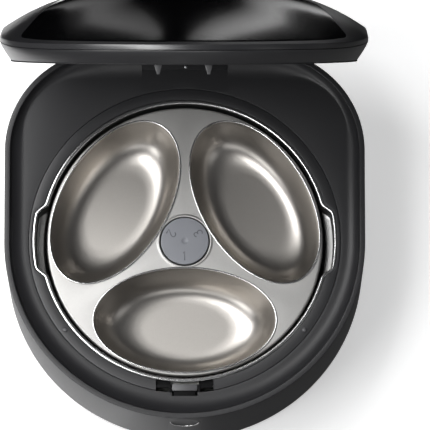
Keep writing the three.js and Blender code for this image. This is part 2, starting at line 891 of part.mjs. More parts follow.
// Turntable hub: shaft, drip skirt over the well's collar, and a hexagonal drive
function turntableHub() {
  const bushTop = chassisTop + fit + bushFlangeHeight;
  const skirtBottom = skirtTop() - hubSkirtHeight;
  const shaft = disc(hubShaftRadius, gearBottom(), bushTop + overrun);
  const body = disc(socketRadius, bushTop + fit, skirtBottom + hubSkirtHeight / 2);
  const skirt = disc(hubSkirtRadius, skirtBottom, skirtTop());
  const drive = hexagon(driveRadius, skirtBottom + hubSkirtHeight / 2, driveTop);
  return join(shaft, body, skirt, drive);
}

function hubBush() {
  const flangeBottom = chassisTop + fit;
  const outer = hubShaftRadius + fit + bushWall;
  const flange = disc(outer + bushFlange, flangeBottom, flangeBottom + bushFlangeHeight);
  const sleeve = disc(outer, chassisBottom + fit, flangeBottom + bushFlangeHeight / 2);
  const bore = disc(hubShaftRadius + fit, chassisBottom - overrun, flangeBottom + 2 * bushFlangeHeight);
  return cut(join(flange, sleeve), bore);
}

function gearBottom() {
  return chassisBottom - gearBelowChassis - gearWidth;
}

// A spur gear's outline, with straight-sided teeth
function gearShape(teeth, phase, bore) {
  const pitchRadius = (teeth * gearModule) / 2;
  const root = pitchRadius - gearModule * toothDedendumShare;
  const tip = pitchRadius + gearModule * toothAddendumShare;
  const step = (2 * Math.PI) / teeth;
  const shape = new THREE.Shape();
  for (let i = 0; i < teeth; i += 1) {
    const middle = phase + i * step;
    const corners = [
      [root, -toothRootShare],
      [tip, -toothTipShare],
      [tip, toothTipShare],
      [root, toothRootShare],
    ];
    corners.forEach(([r, turn], k) => {
      const angle = middle + turn * step;
      const x = r * Math.cos(angle);
      const y = r * Math.sin(angle);
      if (i === 0 && k === 0) shape.moveTo(x, y);
      else shape.lineTo(x, y);
    });
  }
  shape.closePath();
  if (bore) shape.holes.push(new THREE.Path().absarc(0, 0, bore, 0, 2 * Math.PI, true));
  return shape;
}

const gearCentres = ((hubTeeth + pinionTeeth) * gearModule) / 2;

function hubGear() {
  const shape = gearShape(hubTeeth, -Math.PI / 2, hubShaftRadius + fit);
  return prism(shape, gearBottom(), gearBottom() + gearWidth);
}

function drivePinion() {
  const shape = gearShape(pinionTeeth, Math.PI / 2 + Math.PI / pinionTeeth, 0);
  const pinion = prism(shape, gearBottom(), gearBottom() + gearWidth);
  const shaft = disc(motorShaftRadius, motorTop() + fit, gearBottom() + gearWidth / 2, 0, 0, smallSides);
  return pinion.add(shaft).translate([0, -gearCentres, 0]);
}

function motorTop() {
  return gearBottom() - 2 * motorBossHeight;
}

function gearMotor() {
  const can = disc(motorRadius, baseTop + fit, motorTop() - motorBossHeight, 0, -gearCentres);
  const boss = disc(motorBossRadius, motorTop() - 2 * motorBossHeight, motorTop(), 0, -gearCentres);
  const hood = block(
    -motorRadius / 2, motorRadius / 2, -gearCentres - motorRadius - motorBossRadius, -gearCentres,
    baseTop + fit, baseTop + motorBossRadius,
  );
  return join(can, boss, hood);
}

// The cooling stack: cold plate, thermoelectric module, finned sink
const moduleBottom = chassisBottom;
const moduleTop = moduleBottom + moduleThickness;
const sinkTop = chassisBottom - fit;
const finBottom = sinkTop - sinkBase - finHeight;

function coldPlate() {
  const half = coldPlateSize / 2;
  return block(-half, half, stackY - half, stackY + half, moduleTop + fit, foamFloorTop);
}

function thermoelectricModule() {
  const half = moduleSize / 2;
  return block(-half, half, stackY - half, stackY + half, moduleBottom, moduleTop);
}

function heatSink() {
  const base = block(
    -sinkX / 2, sinkX / 2, stackY - sinkY / 2, stackY + sinkY / 2, sinkTop - sinkBase, sinkTop,
  );
  const fins = [];
  for (let i = 0; i < finCount; i += 1) {
    const x = (i / (finCount - 1) - 0.5) * (sinkX - finThickness);
    fins.push(block(
      x - finThickness / 2, x + finThickness / 2, stackY - sinkY / 2, stackY + sinkY / 2,
      finBottom, sinkTop - sinkBase / 2,
    ));
  }
  return join(base, ...fins);
}

const fanTop = finBottom - fit;
const fanBottom = fanTop - fanHeight;

function fanFrame() {
  const half = fanBore + fanWall;
  const frame = block(-half, half, stackY - half, stackY + half, fanBottom, fanTop);
  const bore = disc(fanBore, fanBottom - overrun, fanTop + overrun, 0, stackY);
  const hub = disc(fanHubRadius, fanBottom, fanBottom + fanPlate, 0, stackY, smallSides);
  const strut = block(-half + fanWall / 2, half - fanWall / 2, stackY - fanStrut / 2, stackY + fanStrut / 2,
    fanBottom, fanBottom + fanPlate);
  return cut(frame, bore).add(hub).add(strut);
}

function fanRotor() {
  const bottom = fanBottom + fanPlate + fit;
  const top = fanTop - 2 * fit;
  const hub = disc(fanHubRadius, bottom, top, 0, stackY, smallSides);
  const length = fanBore - fanTip - fanHubRadius / 2;
  const middle = (bottom + top) / 2;
  const blades = [];
  for (let i = 0; i < bladeCount; i += 1) {
    const geometry = new THREE.BoxGeometry(length, (top - bottom) * bladeDepthShare, bladeThickness);
    geometry.rotateX(bladePitch);
    geometry.translate(fanHubRadius / 2 + length / 2, 0, 0);
    geometry.rotateZ((i / bladeCount) * 2 * Math.PI);
    geometry.translate(0, stackY, middle);
    blades.push(solid(geometry));
  }
  const reachOut = disc(fanBore - fanTip, bottom, top, 0, stackY);
  return join(hub, ...blades).intersect(reachOut);
}

function controlBoard() {
  const bottom = baseTop + boardHeight;
  const board = block(
    -boardX / 2, boardX / 2, boardCentreY - boardY / 2, boardCentreY + boardY / 2,
    bottom, bottom + boardThickness,
  );
  const parts = [-1, 0, 1].map((i) => block(
    i * boardX / 3 - chipSize / 2, i * boardX / 3 + chipSize / 2,
    boardCentreY - chipSize / 2, boardCentreY + chipSize / 2,
    bottom + boardThickness / 2, bottom + boardThickness + chipHeight * (1 + Math.abs(i)),
  ));
  return join(board, ...parts);
}

function powerInlet() {
  const front = inletFront();
  const back = bodyRear - housingWall - housingDraft - fit;
  const body = block(
    inletX - inletSize / 2, inletX + inletSize / 2, front, back - fit,
    inletHeight - inletSize / 2, inletHeight + inletSize / 2,
  );
  const noseFront = back - 2 * fit - overrun;
  const nose = rodAlongY(inletNoseRadius, noseFront, bodyRear - housingDraft, inletX, inletHeight);
  const boreFront = bodyRear - inletBoreDepth;
  const bore = rodAlongY(inletBoreRadius, boreFront, bodyRear + overrun, inletX, inletHeight, smallSides);
  return cut(join(body, nose), bore);
}

// Push button: follows the front wall, dished for a fingertip, with a flange that holds it in
const buttonZ = rimTop - buttonBelowRim;
const wallInside = bodyFront - housingWall - housingDraft;

function latchButton() {
  const back = wallInside - buttonThickness;
  const stem = rodAlongY(buttonRadius, -bodyFront - overrun, -back, 0, buttonZ);
  const skin = loft([
    ring(onBody(housingDraft / 2), buttonZ - 2 * buttonRadius),
    ring(onBody(housingDraft / 4), buttonZ + 2 * buttonRadius),
  ], true);
  const flange = rodAlongY(
    buttonRadius + buttonFlange, -wallInside + 2 * fit + overrun / 2, -back, 0, buttonZ,
  );
  const relief = block(
    -buttonRadius - buttonFlange, buttonRadius + buttonFlange, -wallInside - latchTravel, -back + overrun,
    deckTop, buttonZ + 2 * buttonRadius,
  );
  const dish = solid(new THREE.SphereGeometry(buttonDishRadius, capSides, roundSides));
  const dishY = -bodyFront - buttonDishRadius + buttonDishDepth;
  return cut(stem.intersect(skin).add(flange), relief, dish.translate([0, dishY, buttonZ]));
}

const sliderTop = buttonZ + sliderThickness / 2;
const sliderBottom = buttonZ - sliderThickness / 2;

// Latch slider: a bar behind the button, with the tab between the slots and a lip behind each slot
function latchSlider() {
  const tabTop = deckTop - fit;
  const front = -(wallInside - buttonThickness) + fit;
  const bar = block(-sliderHalf, sliderHalf, front, -latchTabRear, sliderBottom, sliderTop);
  const tab = block(
    -latchTabHalf, latchTabHalf, -latchNotchFront + fit, -latchTabRear, sliderBottom, tabTop,
  );
  const step = block(
    -latchTabHalf, latchTabHalf, -latchStep + latchStepDrop, -latchNotchFront + overrun, sliderTop - fit,
    tabTop - latchStepDrop,
  );
  const cross = block(
    -latchSlotOuter + 2 * fit, latchSlotOuter - 2 * fit, -latchTabRear - latchLipDepth, -latchTabRear,
    tabTop - latchLipThickness, tabTop,
  );
  return join(bar, tab, step, cross);
}

function latchGuide() {
  const top = deckTop - deckThickness - fit;
  const rear = -(footFront + deckThickness);
  const front = rear - guideDepth;
  const body = block(
    -sliderHalf - guideWall, sliderHalf + guideWall, front, rear,
    buttonZ - springBelow - springRadius - springWire, top,
  );
  const channel = block(
    -sliderHalf - fit, sliderHalf + fit, front - overrun, rear + overrun, sliderBottom - fit, sliderTop + fit,
  );
  return cut(body, channel);
}

// Return spring between the guide and the button
function latchSpring() {
  const from = -(wallInside - buttonThickness) + fit + springWire;
  const to = -(footFront + deckThickness) - guideDepth - fit - springWire;
  const points = [];
  for (let i = 0; i <= springTurns * wireSteps; i += 1) {
    const share = i / (springTurns * wireSteps);
    const angle = share * springTurns * 2 * Math.PI;
    points.push(new THREE.Vector3(
      springRadius * Math.cos(angle),
      THREE.MathUtils.lerp(from, to, share),
      buttonZ - springBelow + springRadius * Math.sin(angle),
    ));
  }
  const section = new THREE.Shape();
  for (let i = 0; i < wireSides; i += 1) {
    const angle = (i / wireSides) * 2 * Math.PI;
    const x = (springWire / 2) * Math.cos(angle);
    const y = (springWire / 2) * Math.sin(angle);
    if (i === 0) section.moveTo(x, y);
    else section.lineTo(x, y);
  }
  const path = new THREE.CatmullRomCurve3(points);
  const options = { steps: points.length - 1, bevelEnabled: false, extrudePath: path };
  return solid(new THREE.ExtrudeGeometry(section, options));
}

// Lid surfaces, in the closed position
const sweep = (y) => smooth((y + sweepEnd) / (2 * sweepEnd));
const seamAt = (y) => lidBottom + THREE.MathUtils.lerp(seamFront, seamRear, sweep(y));
const shoulderAt = (y) => lidBottom + THREE.MathUtils.lerp(shoulderFront, shoulderRear, sweep(y));
const lidPeakZ = lidBottom + lidRise;

function edgeInset(y) {
  return THREE.MathUtils.lerp(lidInsetFront, lidInsetRear, sweep(y));
}

// The lower shell's outside, part of the way from its lower edge to the seam
function lidSide(share, extra = 0) {
  return ring(
    (angle) => {
      const y = reach(bodyPlan, angle) * Math.sin(angle);
      return onBody(edgeInset(y) * (1 - share) ** lidRoundPower + extra)(angle);
    },
    (x, y) => THREE.MathUtils.lerp(lidBottom, seamAt(y) - (share === 1 ? seamGap / 2 : 0), share),
  );
}

// How full the crown is towards one point of the edge: flat at the front, full at the rear
function crownPower(x, y) {
  const rise = Math.sin(Math.atan2(y - lidPeakY, Math.abs(x)));
  return rise < 0
    ? THREE.MathUtils.lerp(crownSide, crownFront, smooth(-rise))
    : THREE.MathUtils.lerp(crownSide, crownRear, smooth(rise));
}

// One ring of the crown, a share of the way out from the peak to the edge, lowered by a wall
function crown(share, drop = 0) {
  return ring(onBody(0), (x, y) => shoulderAt(y)).map((edge) => {
    const rise = 1 - share ** crownPower(edge.x, edge.y);
    const x = edge.x * share;
    const y = lidPeakY + (edge.y - lidPeakY) * share;
    return new THREE.Vector3(x, y, THREE.MathUtils.lerp(edge.z, lidPeakZ, rise) - drop);
  });
}

function lidUpperShell() {
  const seam = ring(onBody(0), (x, y) => seamAt(y) + seamGap / 2);
  const seamInside = ring(onBody(lidWall), (x, y) => seamAt(y) + seamGap / 2);
  const outside = crownShares.map((share) => crown(share));
  const inside = hollowShares.map((share) => crown(share, 2 * lidWall));
  const shell = loft([...inside.reverse(), seamInside, seam, ...outside], true);
  const shape = panelShape(0);
  const recess = prism(shape, lidBottom, lidPeakZ + overrun).subtract(crownSolid(panelThickness + fit));
  return shell.subtract(recess);
}

// Everything under the crown's surface when it is lowered by some amount
function crownSolid(drop) {
  const foot = ring(onBody(-overrun), lidBottom - overrun);
  const shoulder = ring(onBody(-overrun), (x, y) => shoulderAt(y) - drop);
  const outside = crownShares.slice(1).map((share) => crown(share, drop));
  return loft([foot, shoulder, ...outside], true);
}

// Outline of the glossy panel in plan: the front arc, two rounded tips, slanted sides, a straight rear
function panelShape(shrink) {
  const radius = bodyHalf - panelInset - shrink;
  const tipX = panelHalf - shrink;
  const tipAngle = Math.acos(tipX / radius);
  const tipY = bodyPlan.front - radius * Math.sin(tipAngle);
  const rearX = panelRearHalf - shrink;
  const rearY = panelRearY - shrink;
  const shape = new THREE.Shape();
  const slant = new THREE.Vector2(rearX - tipX, rearY - tipY).normalize();
  const start = new THREE.Vector2(tipX, tipY).addScaledVector(slant, panelTipRound);
  const end = new THREE.Vector2(rearX, rearY).addScaledVector(slant, -panelRearRound);
  const early = tipAngle + panelTipRound / radius;
  shape.absarc(0, bodyPlan.front, radius, Math.PI + early, 2 * Math.PI - early, false);
  shape.quadraticCurveTo(tipX, tipY, start.x, start.y);
  shape.lineTo(end.x, end.y);
  shape.quadraticCurveTo(rearX, rearY, rearX - panelRearRound, rearY);
  shape.lineTo(-rearX + panelRearRound, rearY);
  shape.quadraticCurveTo(-rearX, rearY, -end.x, end.y);
  shape.lineTo(-start.x, start.y);
  const arcX = -radius * Math.cos(early);
  const arcY = bodyPlan.front - radius * Math.sin(early);
  shape.quadraticCurveTo(-tipX, tipY, arcX, arcY);
  return shape;
}

function lidPanel() {
  const column = prism(panelShape(fit), lidBottom, lidPeakZ + overrun);
  return column.intersect(crownSolid(0)).subtract(crownSolid(panelThickness));
}

// Lower shell: a rounded side with a floor round the liner, and two hinge arms at the rear
function lidLowerShell() {
  const rebate = (amount, z) => ring(
    (angle) => onBody(edgeInset(reach(bodyPlan, angle) * Math.sin(angle)) + amount)(angle), z,
  );
  const sideRings = seamShares.map((share) => lidSide(share));
  const shell = loft([
    rebate(lidFloorWidth, lidBottom),
    rebate(gasketIn, lidBottom),
    rebate(gasketIn, lidBottom + gasketHeight + fit),
    ...sideRings,
    lidSide(1, lidWall),
    rebate(gasketIn + lidWall, lidBottom + gasketHeight + fit + lidFloor),
    rebate(lidFloorWidth, lidBottom + lidFloor),
  ], false);
  const arms = [];
  const bores = [];
  for (const side of [-1, 1]) {
    const x0 = Math.min(side * lidKnuckleInner, side * lidKnuckleOuter);
    const x1 = Math.max(side * lidKnuckleInner, side * lidKnuckleOuter);
    const armBottom = lidBottom + gasketHeight + 2 * fit;
    arms.push(rodAlongX(knuckleRadius, x0, x1, hingeY, hingeZ));
    arms.push(block(x0, x1, hingeY - 2 * knuckleRadius, hingeY, armBottom, hingeZ + knuckleRadius));
    bores.push(rodAlongX(pinRadius + fit, x0 - overrun, x1 + overrun, hingeY, hingeZ));
  }
  return cut(join(shell, ...arms), ...bores);
}

function lidGasket() {
  const at = (amount, z) => ring(
    (angle) => onBody(edgeInset(reach(bodyPlan, angle) * Math.sin(angle)) + amount)(angle), z,
  );
  const top = lidBottom + gasketHeight;
  return loft([
    at(gasketIn - fit, lidBottom),
    at(-gasketOut, lidBottom),
    at(-gasketOut, top),
    at(gasketIn - fit, top),
  ], false);
}

// Liner: closes the lid's underside, with a shallow dish over the bowls
function lidLiner() {
  const at = (amount, z) => ring(
    (angle) => onBody(edgeInset(reach(bodyPlan, angle) * Math.sin(angle)) + lidFloorWidth + amount)(angle), z,
  );
  return loft([
    at(linerDishInset, lidBottom + linerDish),
    at(linerDishInset - linerDish, lidBottom),
    at(fit, lidBottom),
    at(fit, lidBottom + lidFloor),
  ], true);
}

// Catch hook: a wedge that points down, with a nose towards the rear
function lidHook(side) {
  const top = lidBottom - fit;
  const bottom = lidBottom - hookLength;
  const shape = new THREE.Shape();
  shape.moveTo(-hookWidth / 2, top);
  shape.lineTo(-hookTipWidth / 2, bottom);
  shape.lineTo(hookTipWidth / 2, bottom);
  shape.lineTo(hookWidth / 2, top);
  shape.closePath();
  const geometry = new THREE.ExtrudeGeometry(shape, { depth: hookStem + hookNose, bevelEnabled: false });
  geometry.rotateX(Math.PI / 2);
  geometry.translate(side * hookX, -hookFront + hookStem + hookNose, 0);
  const wedge = solid(geometry);
  const catchCut = block(
    side * hookX - hookWidth, side * hookX + hookWidth,
    -hookFront + hookStem, -hookFront + hookStem + hookNose + overrun,
    bottom + hookNoseHeight, top - lidFloor / 2,
  );
  return wedge.subtract(catchCut);
}

// Hinge bracket on the pocket's floor, with the two outer knuckles
function hingeBracket() {
  const floor = deckTop + fit;
  const half = pocketHalf - fit;
  const back = bodyRear - fit;
  const plate = block(-half, half, back - bracketPlateDepth, back, floor, floor + bracketThickness);
  const outer = hingeY + knuckleRadius;
  const parts = [plate];
  const bores = [];
  for (const side of [-1, 1]) {
    const inner = lidKnuckleOuter + 2 * fit;
    const x0 = Math.min(side * inner, side * half);
    const x1 = Math.max(side * inner, side * half);
    parts.push(rodAlongX(knuckleRadius, x0, x1, hingeY, hingeZ));
    parts.push(block(x0, x1, hingeY - knuckleRadius, outer, floor + bracketThickness / 2, hingeZ));
    bores.push(rodAlongX(pinRadius + fit, x0 - overrun, x1 + overrun, hingeY, hingeZ));
  }
  return cut(join(...parts), ...bores);
}

function hingePin() {
  return rodAlongX(pinRadius, -pocketHalf + 2 * fit, pocketHalf - 2 * fit, hingeY, hingeZ);
}

// Assembly
const feeder = new THREE.Group();
place(feeder, 'outer_housing', outerHousing(), shellPlastic);
place(feeder, 'top_cover', topCover(), coverPlastic);
place(feeder, 'base_plate', basePlate(), darkPlastic);
footPlaces().forEach(([x, y], i) => place(feeder, `rubber_foot_${i + 1}`, rubberFoot(x, y), blackRubber));
legPlaces().forEach(([x, y], i) => place(feeder, `base_screw_${i + 1}`, baseScrew(x, y), brightSteel));
place(feeder, 'chassis', chassis(), nylon);
place(feeder, 'insulation_shell', insulationShell(), foam);
place(feeder, 'cooling_well', coolingWell(), brightSteel);
place(feeder, 'well_ring', wellRing(), coverPlastic);
place(feeder, 'ring_stud_left', ringStud(-1), darkPlastic);
place(feeder, 'ring_stud_right', ringStud(1), darkPlastic);
place(feeder, 'cold_plate', coldPlate(), aluminium);
place(feeder, 'thermoelectric_module', thermoelectricModule(), ceramic);
place(feeder, 'heat_sink', heatSink(), aluminium);
place(feeder, 'fan_frame', fanFrame(), darkPlastic);
place(feeder, 'fan_rotor', fanRotor(), darkPlastic);
place(feeder, 'gear_motor', gearMotor(), aluminium);
place(feeder, 'drive_pinion', drivePinion(), nylon);
place(feeder, 'hub_bush', hubBush(), nylon);
place(feeder, 'control_board', controlBoard(), boardGreen);
place(feeder, 'power_inlet', powerInlet(), darkPlastic);
place(feeder, 'latch_guide', latchGuide(), darkPlastic);
place(feeder, 'latch_spring', latchSpring(), brightSteel);
place(feeder, 'hinge_bracket', hingeBracket(), darkPlastic);
place(feeder, 'hinge_pin', hingePin(), brightSteel);

const latch = new THREE.Group();
feeder.add(latch);
place(latch, 'latch_button', latchButton(), shellPlastic);
place(latch, 'latch_slider', latchSlider(), coverPlastic);

const turntable = new THREE.Group();
feeder.add(turntable);
place(turntable, 'hub_gear', hubGear(), nylon);
place(turntable, 'turntable_hub', turntableHub(), darkPlastic);

const tray = new THREE.Group();
turntable.add(tray);
place(tray, 'tray_plate', trayPlate(), satinSteel);
['bowl_front', 'bowl_right', 'bowl_left'].forEach((name, i) => place(tray, name, bowl(i), satinSteel));
place(tray, 'centre_cap', centreCap(), capPlastic);

// The lid is drawn closed, then swung open about its hinge
const lid = new THREE.Group();
lid.position.set(0, hingeY, hingeZ);
lid.rotation.x = -openAngle;
const closed = new THREE.Group();
closed.position.set(0, -hingeY, -hingeZ);
lid.add(closed);
feeder.add(lid);
place(closed, 'lid_lower_shell', lidLowerShell(), shellPlastic);
place(closed, 'lid_upper_shell', lidUpperShell(), shellPlastic);
place(closed, 'lid_panel', lidPanel(), glossPanel);
place(closed, 'lid_gasket', lidGasket(), blackRubber);
place(closed, 'lid_liner', lidLiner(), coverPlastic);
place(closed, 'lid_hook_left', lidHook(-1), darkPlastic);
place(closed, 'lid_hook_right', lidHook(1), darkPlastic);

export default feeder;
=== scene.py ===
import math

import bmesh
import bpy
import numpy as np
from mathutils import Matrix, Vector


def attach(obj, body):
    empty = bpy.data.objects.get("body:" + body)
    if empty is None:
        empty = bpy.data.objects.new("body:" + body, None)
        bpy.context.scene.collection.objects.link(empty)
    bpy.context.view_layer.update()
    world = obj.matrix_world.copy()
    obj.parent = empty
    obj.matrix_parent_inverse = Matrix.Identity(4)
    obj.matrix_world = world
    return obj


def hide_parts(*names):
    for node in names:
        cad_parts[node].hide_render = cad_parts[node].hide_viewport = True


# Wet food feeder with three steel bowls on a turning tray, under a hinged lid.
# The shapes are worked out in millimetres and stored in metres, as the CAD frame is.
milli = 0.001

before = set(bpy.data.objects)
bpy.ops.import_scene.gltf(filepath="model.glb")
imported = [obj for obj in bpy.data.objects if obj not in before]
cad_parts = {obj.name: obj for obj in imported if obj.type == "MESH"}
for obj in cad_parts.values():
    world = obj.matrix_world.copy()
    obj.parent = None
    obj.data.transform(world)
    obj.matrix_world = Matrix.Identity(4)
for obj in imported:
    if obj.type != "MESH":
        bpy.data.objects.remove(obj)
scene = bpy.context.scene


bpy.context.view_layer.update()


# camera, floor and lights
def lin(hexText, share=1.0):
    # one sRGB hex value to linear colour with alpha 1, at a share of its light
    parts = [int(hexText[i:i + 2], 16) / 255 for i in (1, 3, 5)]
    light = [v / 12.92 if v <= 0.04045 else ((v + 0.055) / 1.055) ** 2.4 for v in parts]
    return (*[share * v for v in light], 1.0)


# in metres, degrees and, for the lens, millimetres
view = {
    "target": (0.0256, 0.022, 0.09), "distance": 6.2, "elevation": 76.4, "lens": 613, "sensor": 36,
    "farthest": 60, "lampTarget": (0, 0.05, 0.12),
    "floorColour": "#f4f4f4", "floorLift": 0.45, "floorHalf": 6.0, "floorHeight": -0.0005,
    "skyColour": "#f2f4f8", "skyFill": 0.08,
}


def addNode(tree, kind, settings=None, links=None):
    # settings are inputs or attributes of the new node; links lead from its inputs to sockets of older nodes
    node = tree.nodes.new("ShaderNode" + kind)
    for name, value in (settings or {}).items():
        if isinstance(name, int) or name in node.inputs:
            node.inputs[name].default_value = value
        else:
            setattr(node, name, value)
    for name, socket in (links or {}).items():
        tree.links.new(socket, node.inputs[name])
    return node


def startMaterial(name):
    material = bpy.data.materials.new(name)
    material.use_nodes = True
    material.node_tree.nodes.clear()
    return material, material.node_tree


def linkIn(obj):
    scene.collection.objects.link(obj)
    return obj


def aim(obj, place, target):
    obj.location = place
    obj.rotation_euler = (Vector(target) - Vector(place)).to_track_quat("-Z", "Y").to_euler()


def makeCamera():
    rise = math.radians(view["elevation"])
    data = bpy.data.cameras.new("photoCamera")
    data.lens = view["lens"]
    data.sensor_width = view["sensor"]
    data.clip_end = view["farthest"]
    camera = linkIn(bpy.data.objects.new("photoCamera", data))
    away = view["distance"] * Vector((0, -math.cos(rise), math.sin(rise)))
    aim(camera, Vector(view["target"]) + away, view["target"])
    scene.camera = camera


# place, size and power of each soft box, in metres and watts
lamps = {
    "overheadSoftBox": ((-0.78, 0.34, 1.5), (1.1, 1.0), 23),
    "rimBox": ((-0.46, -0.26, 1.5), (0.5, 0.4), 6),
    "keyLeftFront": ((-1.35, -1.1, 1.0), (0.9, 0.7), 8),
    "frontStrip": ((-0.1, -1.8, 1.1), (1.6, 0.45), 4),
    "rightFill": ((1.8, -0.9, 1.4), (0.9, 0.9), 2),
    "rearFill": ((0.3, 1.9, 1.5), (1.2, 0.5), 5),
}


def makeLamps():
    for name, (place, size, watts) in lamps.items():
        data = bpy.data.lights.new(name, "AREA")
        data.shape = "RECTANGLE"
        data.size, data.size_y = size
        data.energy = watts
        aim(linkIn(bpy.data.objects.new(name, data)), place, view["lampTarget"])


def makeSky():
    world = bpy.data.worlds.new("studioSky")
    scene.world = world
    world.use_nodes = True
    tree = world.node_tree
    tree.nodes.clear()
    sky = addNode(tree, "Background", {"Color": lin(view["skyColour"]), "Strength": view["skyFill"]})
    addNode(tree, "OutputWorld", links={"Surface": sky.outputs[0]})


def stageSheet(name, outline, height, material):
    # a flat piece of the set, its outline a list of (x, y)
    mesh = bpy.data.meshes.new(name)
    mesh.from_pydata([(x, y, height) for x, y in outline], [], [tuple(range(len(outline)))])
    mesh.materials.append(material)
    sheet = linkIn(bpy.data.objects.new(name, mesh))
    return sheet


# Dark flags lie round the feeder but for the left, and two pale streaks lie on the rear one. Mirror rays
# alone see them: the glossy panel mirrors a dark set with two soft streaks, and the eye sees the pale floor.
# A card's strength goes from "near" to "far" over the distances "from" and "to", measured along "fade" from
# a point on one edge. All in metres.
flag = {"height": 0.002, "edge": (0, 0), "fade": (1, 0), "from": 0.0, "to": 1.0}
mirrorCards = {
    "rearFlag": {**flag, "near": 0.0, "far": 0.0, "outline": [(-3, 0.262), (3, 0.262), (3, 3), (-3, 3)]},
    "frontFlag": {
        **flag, "near": 0.11, "far": 0.11,
        "outline": [(-3, -3), (-0.06, -3), (-0.06, -0.3), (-0.3, -0.1), (-0.33, 0.262), (-3, 0.262)],
    },
    "rightFlag": {
        **flag, "edge": (-0.055, 0), "to": 0.08, "near": 1.0, "far": 0.11,
        "outline": [(-0.06, -3), (3, -3), (3, 0.262), (-0.06, 0.262)],
    },
    "leftStreak": {
        "outline": [(-0.15, 0.27), (-0.142, 0.4), (-0.045, 0.545), (-0.03, 0.53), (-0.05, 0.44),
                    (-0.08, 0.27)],
        "height": 0.004, "edge": (-0.142, 0.4), "fade": (0.816, -0.579), "from": 0.008, "to": 0.07,
        "near": 0.42, "far": 0.0,
    },
    "rightStreak": {
        "outline": [(0.18, 0.27), (0.158, 0.37), (0.088, 0.49), (0.045, 0.555), (0.0, 0.555), (0.05, 0.43),
                    (0.085, 0.27)],
        "height": 0.004, "edge": (0.158, 0.37), "fade": (-0.858, -0.515), "from": 0.012, "to": 0.062,
        "near": 1.15, "far": 0.0,
    },
}


def makeMirrorCard(name):
    c = mirrorCards[name]
    material, tree = startMaterial(name)
    place = addNode(tree, "TexCoord").outputs["Object"]
    offset = addNode(tree, "VectorMath", {"operation": "SUBTRACT", 1: (*c["edge"], 0)}, {0: place}).outputs[0]
    across = addNode(tree, "VectorMath", {"operation": "DOT_PRODUCT", 1: (*c["fade"], 0)}, {0: offset})
    span = {"From Min": c["from"], "From Max": c["to"], "To Min": c["near"], "To Max": c["far"]}
    fade = addNode(tree, "MapRange", span, {"Value": across.outputs["Value"]})
    card = addNode(tree, "Emission", links={"Strength": fade.outputs[0]})
    addNode(tree, "OutputMaterial", links={"Surface": card.outputs[0]})
    sheet = stageSheet(name, c["outline"], c["height"], material)
    for ray in ("camera", "diffuse", "transmission", "shadow", "volume_scatter"):
        setattr(sheet, "visible_" + ray, False)


def makeFloor():
    # matt pale board; its own lift keeps it white to the eye and in mirrors, and it still takes the shadow
    material, tree = startMaterial("paleFloor")
    path = addNode(tree, "LightPath").outputs
    eye = addNode(tree, "Math", {"operation": "ADD"}, {0: path["Is Camera Ray"], 1: path["Is Glossy Ray"]})
    seen = addNode(tree, "Math", {"operation": "ADD", "use_clamp": True},
                   {0: eye.outputs[0], 1: path["Is Transmission Ray"]})
    lift = addNode(tree, "MapRange", {"To Max": view["floorLift"]}, {"Value": seen.outputs[0]})
    glow = addNode(tree, "Emission", {"Color": lin("#ffffff")}, {"Strength": lift.outputs[0]})
    matt = addNode(tree, "BsdfDiffuse", {"Color": lin(view["floorColour"])})
    both = addNode(tree, "AddShader", links={0: matt.outputs[0], 1: glow.outputs[0]})
    addNode(tree, "OutputMaterial", links={"Surface": both.outputs[0]})
    half = view["floorHalf"]
    corners = [(-half, -half), (half, -half), (half, half), (-half, half)]
    stageSheet("studioFloor", corners, view["floorHeight"], material)


scene.view_settings.view_transform = "Standard"
makeCamera()
makeLamps()
makeSky()
makeFloor()
for name in mirrorCards:
    makeMirrorCard(name)
print("stage: camera, lights and floor")


# finishes
def makeFinish(name, sockets, patterns, tint, gloss=None, relief=None, speck=None, stretch=None):
    # patterns: name to (texture, size of its features in millimetres, settings). Each of the rest begins with
    # the pattern that drives it: tint goes on with two colours, the others with their node's settings.
    material, tree = startMaterial(name)
    shader = addNode(tree, "BsdfPrincipled", sockets)
    addNode(tree, "OutputMaterial", links={"Surface": shader.outputs[0]})
    where = addNode(tree, "TexCoord").outputs["Object"]
    if stretch:
        where = addNode(tree, "Mapping", {"Scale": stretch}, {"Vector": where}).outputs[0]
    drawn = {}
    for key, (texture, size, settings) in patterns.items():
        node = addNode(tree, "Tex" + texture, {"Scale": 1 / (size * milli), **settings}, {"Vector": where})
        drawn[key] = node.outputs["Distance" if texture == "Voronoi" else "Fac"]
    colours = {"data_type": "RGBA", "A": tint[1], "B": tint[2]}
    colour = addNode(tree, "Mix", colours, {"Factor": drawn[tint[0]]}).outputs["Result"]
    if speck:
        shine = addNode(tree, "MapRange", speck[1], {"Value": drawn[speck[0]]})
        multiply = {"data_type": "RGBA", "blend_type": "MULTIPLY", "Factor": 1.0}
        colour = addNode(tree, "Mix", multiply, {"A": colour, "B": shine.outputs[0]}).outputs["Result"]
    tree.links.new(colour, shader.inputs["Base Color"])
    if gloss:
        rough = addNode(tree, "MapRange", gloss[1], {"Value": drawn[gloss[0]]})
        tree.links.new(rough.outputs[0], shader.inputs["Roughness"])
    if relief:
        bump = addNode(tree, "Bump", relief[1], {"Height": drawn[relief[0]]})
        tree.links.new(bump.outputs[0], shader.inputs["Normal"])
    return material


def mouldedAbs(name, colour, worn, grain, rough, bump, specular):
    # ABS moulded against a spark-eroded tool: an even fine grain, matt, paler where hands rub it.
    # The real grain is about 0.1 mm; it is drawn coarser so that it shows.
    return makeFinish(
        name, {"IOR": 1.54, "Specular IOR Level": specular},
        {"grain": ("Noise", grain, {"Detail": 3.0, "Roughness": 0.6}),
         "flow": ("Noise", 45, {"Detail": 2.0})},
        tint=("flow", lin(colour), lin(worn)),
        gloss=("grain", {"To Min": rough - 0.05, "To Max": rough + 0.06}),
        relief=("grain", {"Strength": bump, "Distance": 0.00006}),
    )


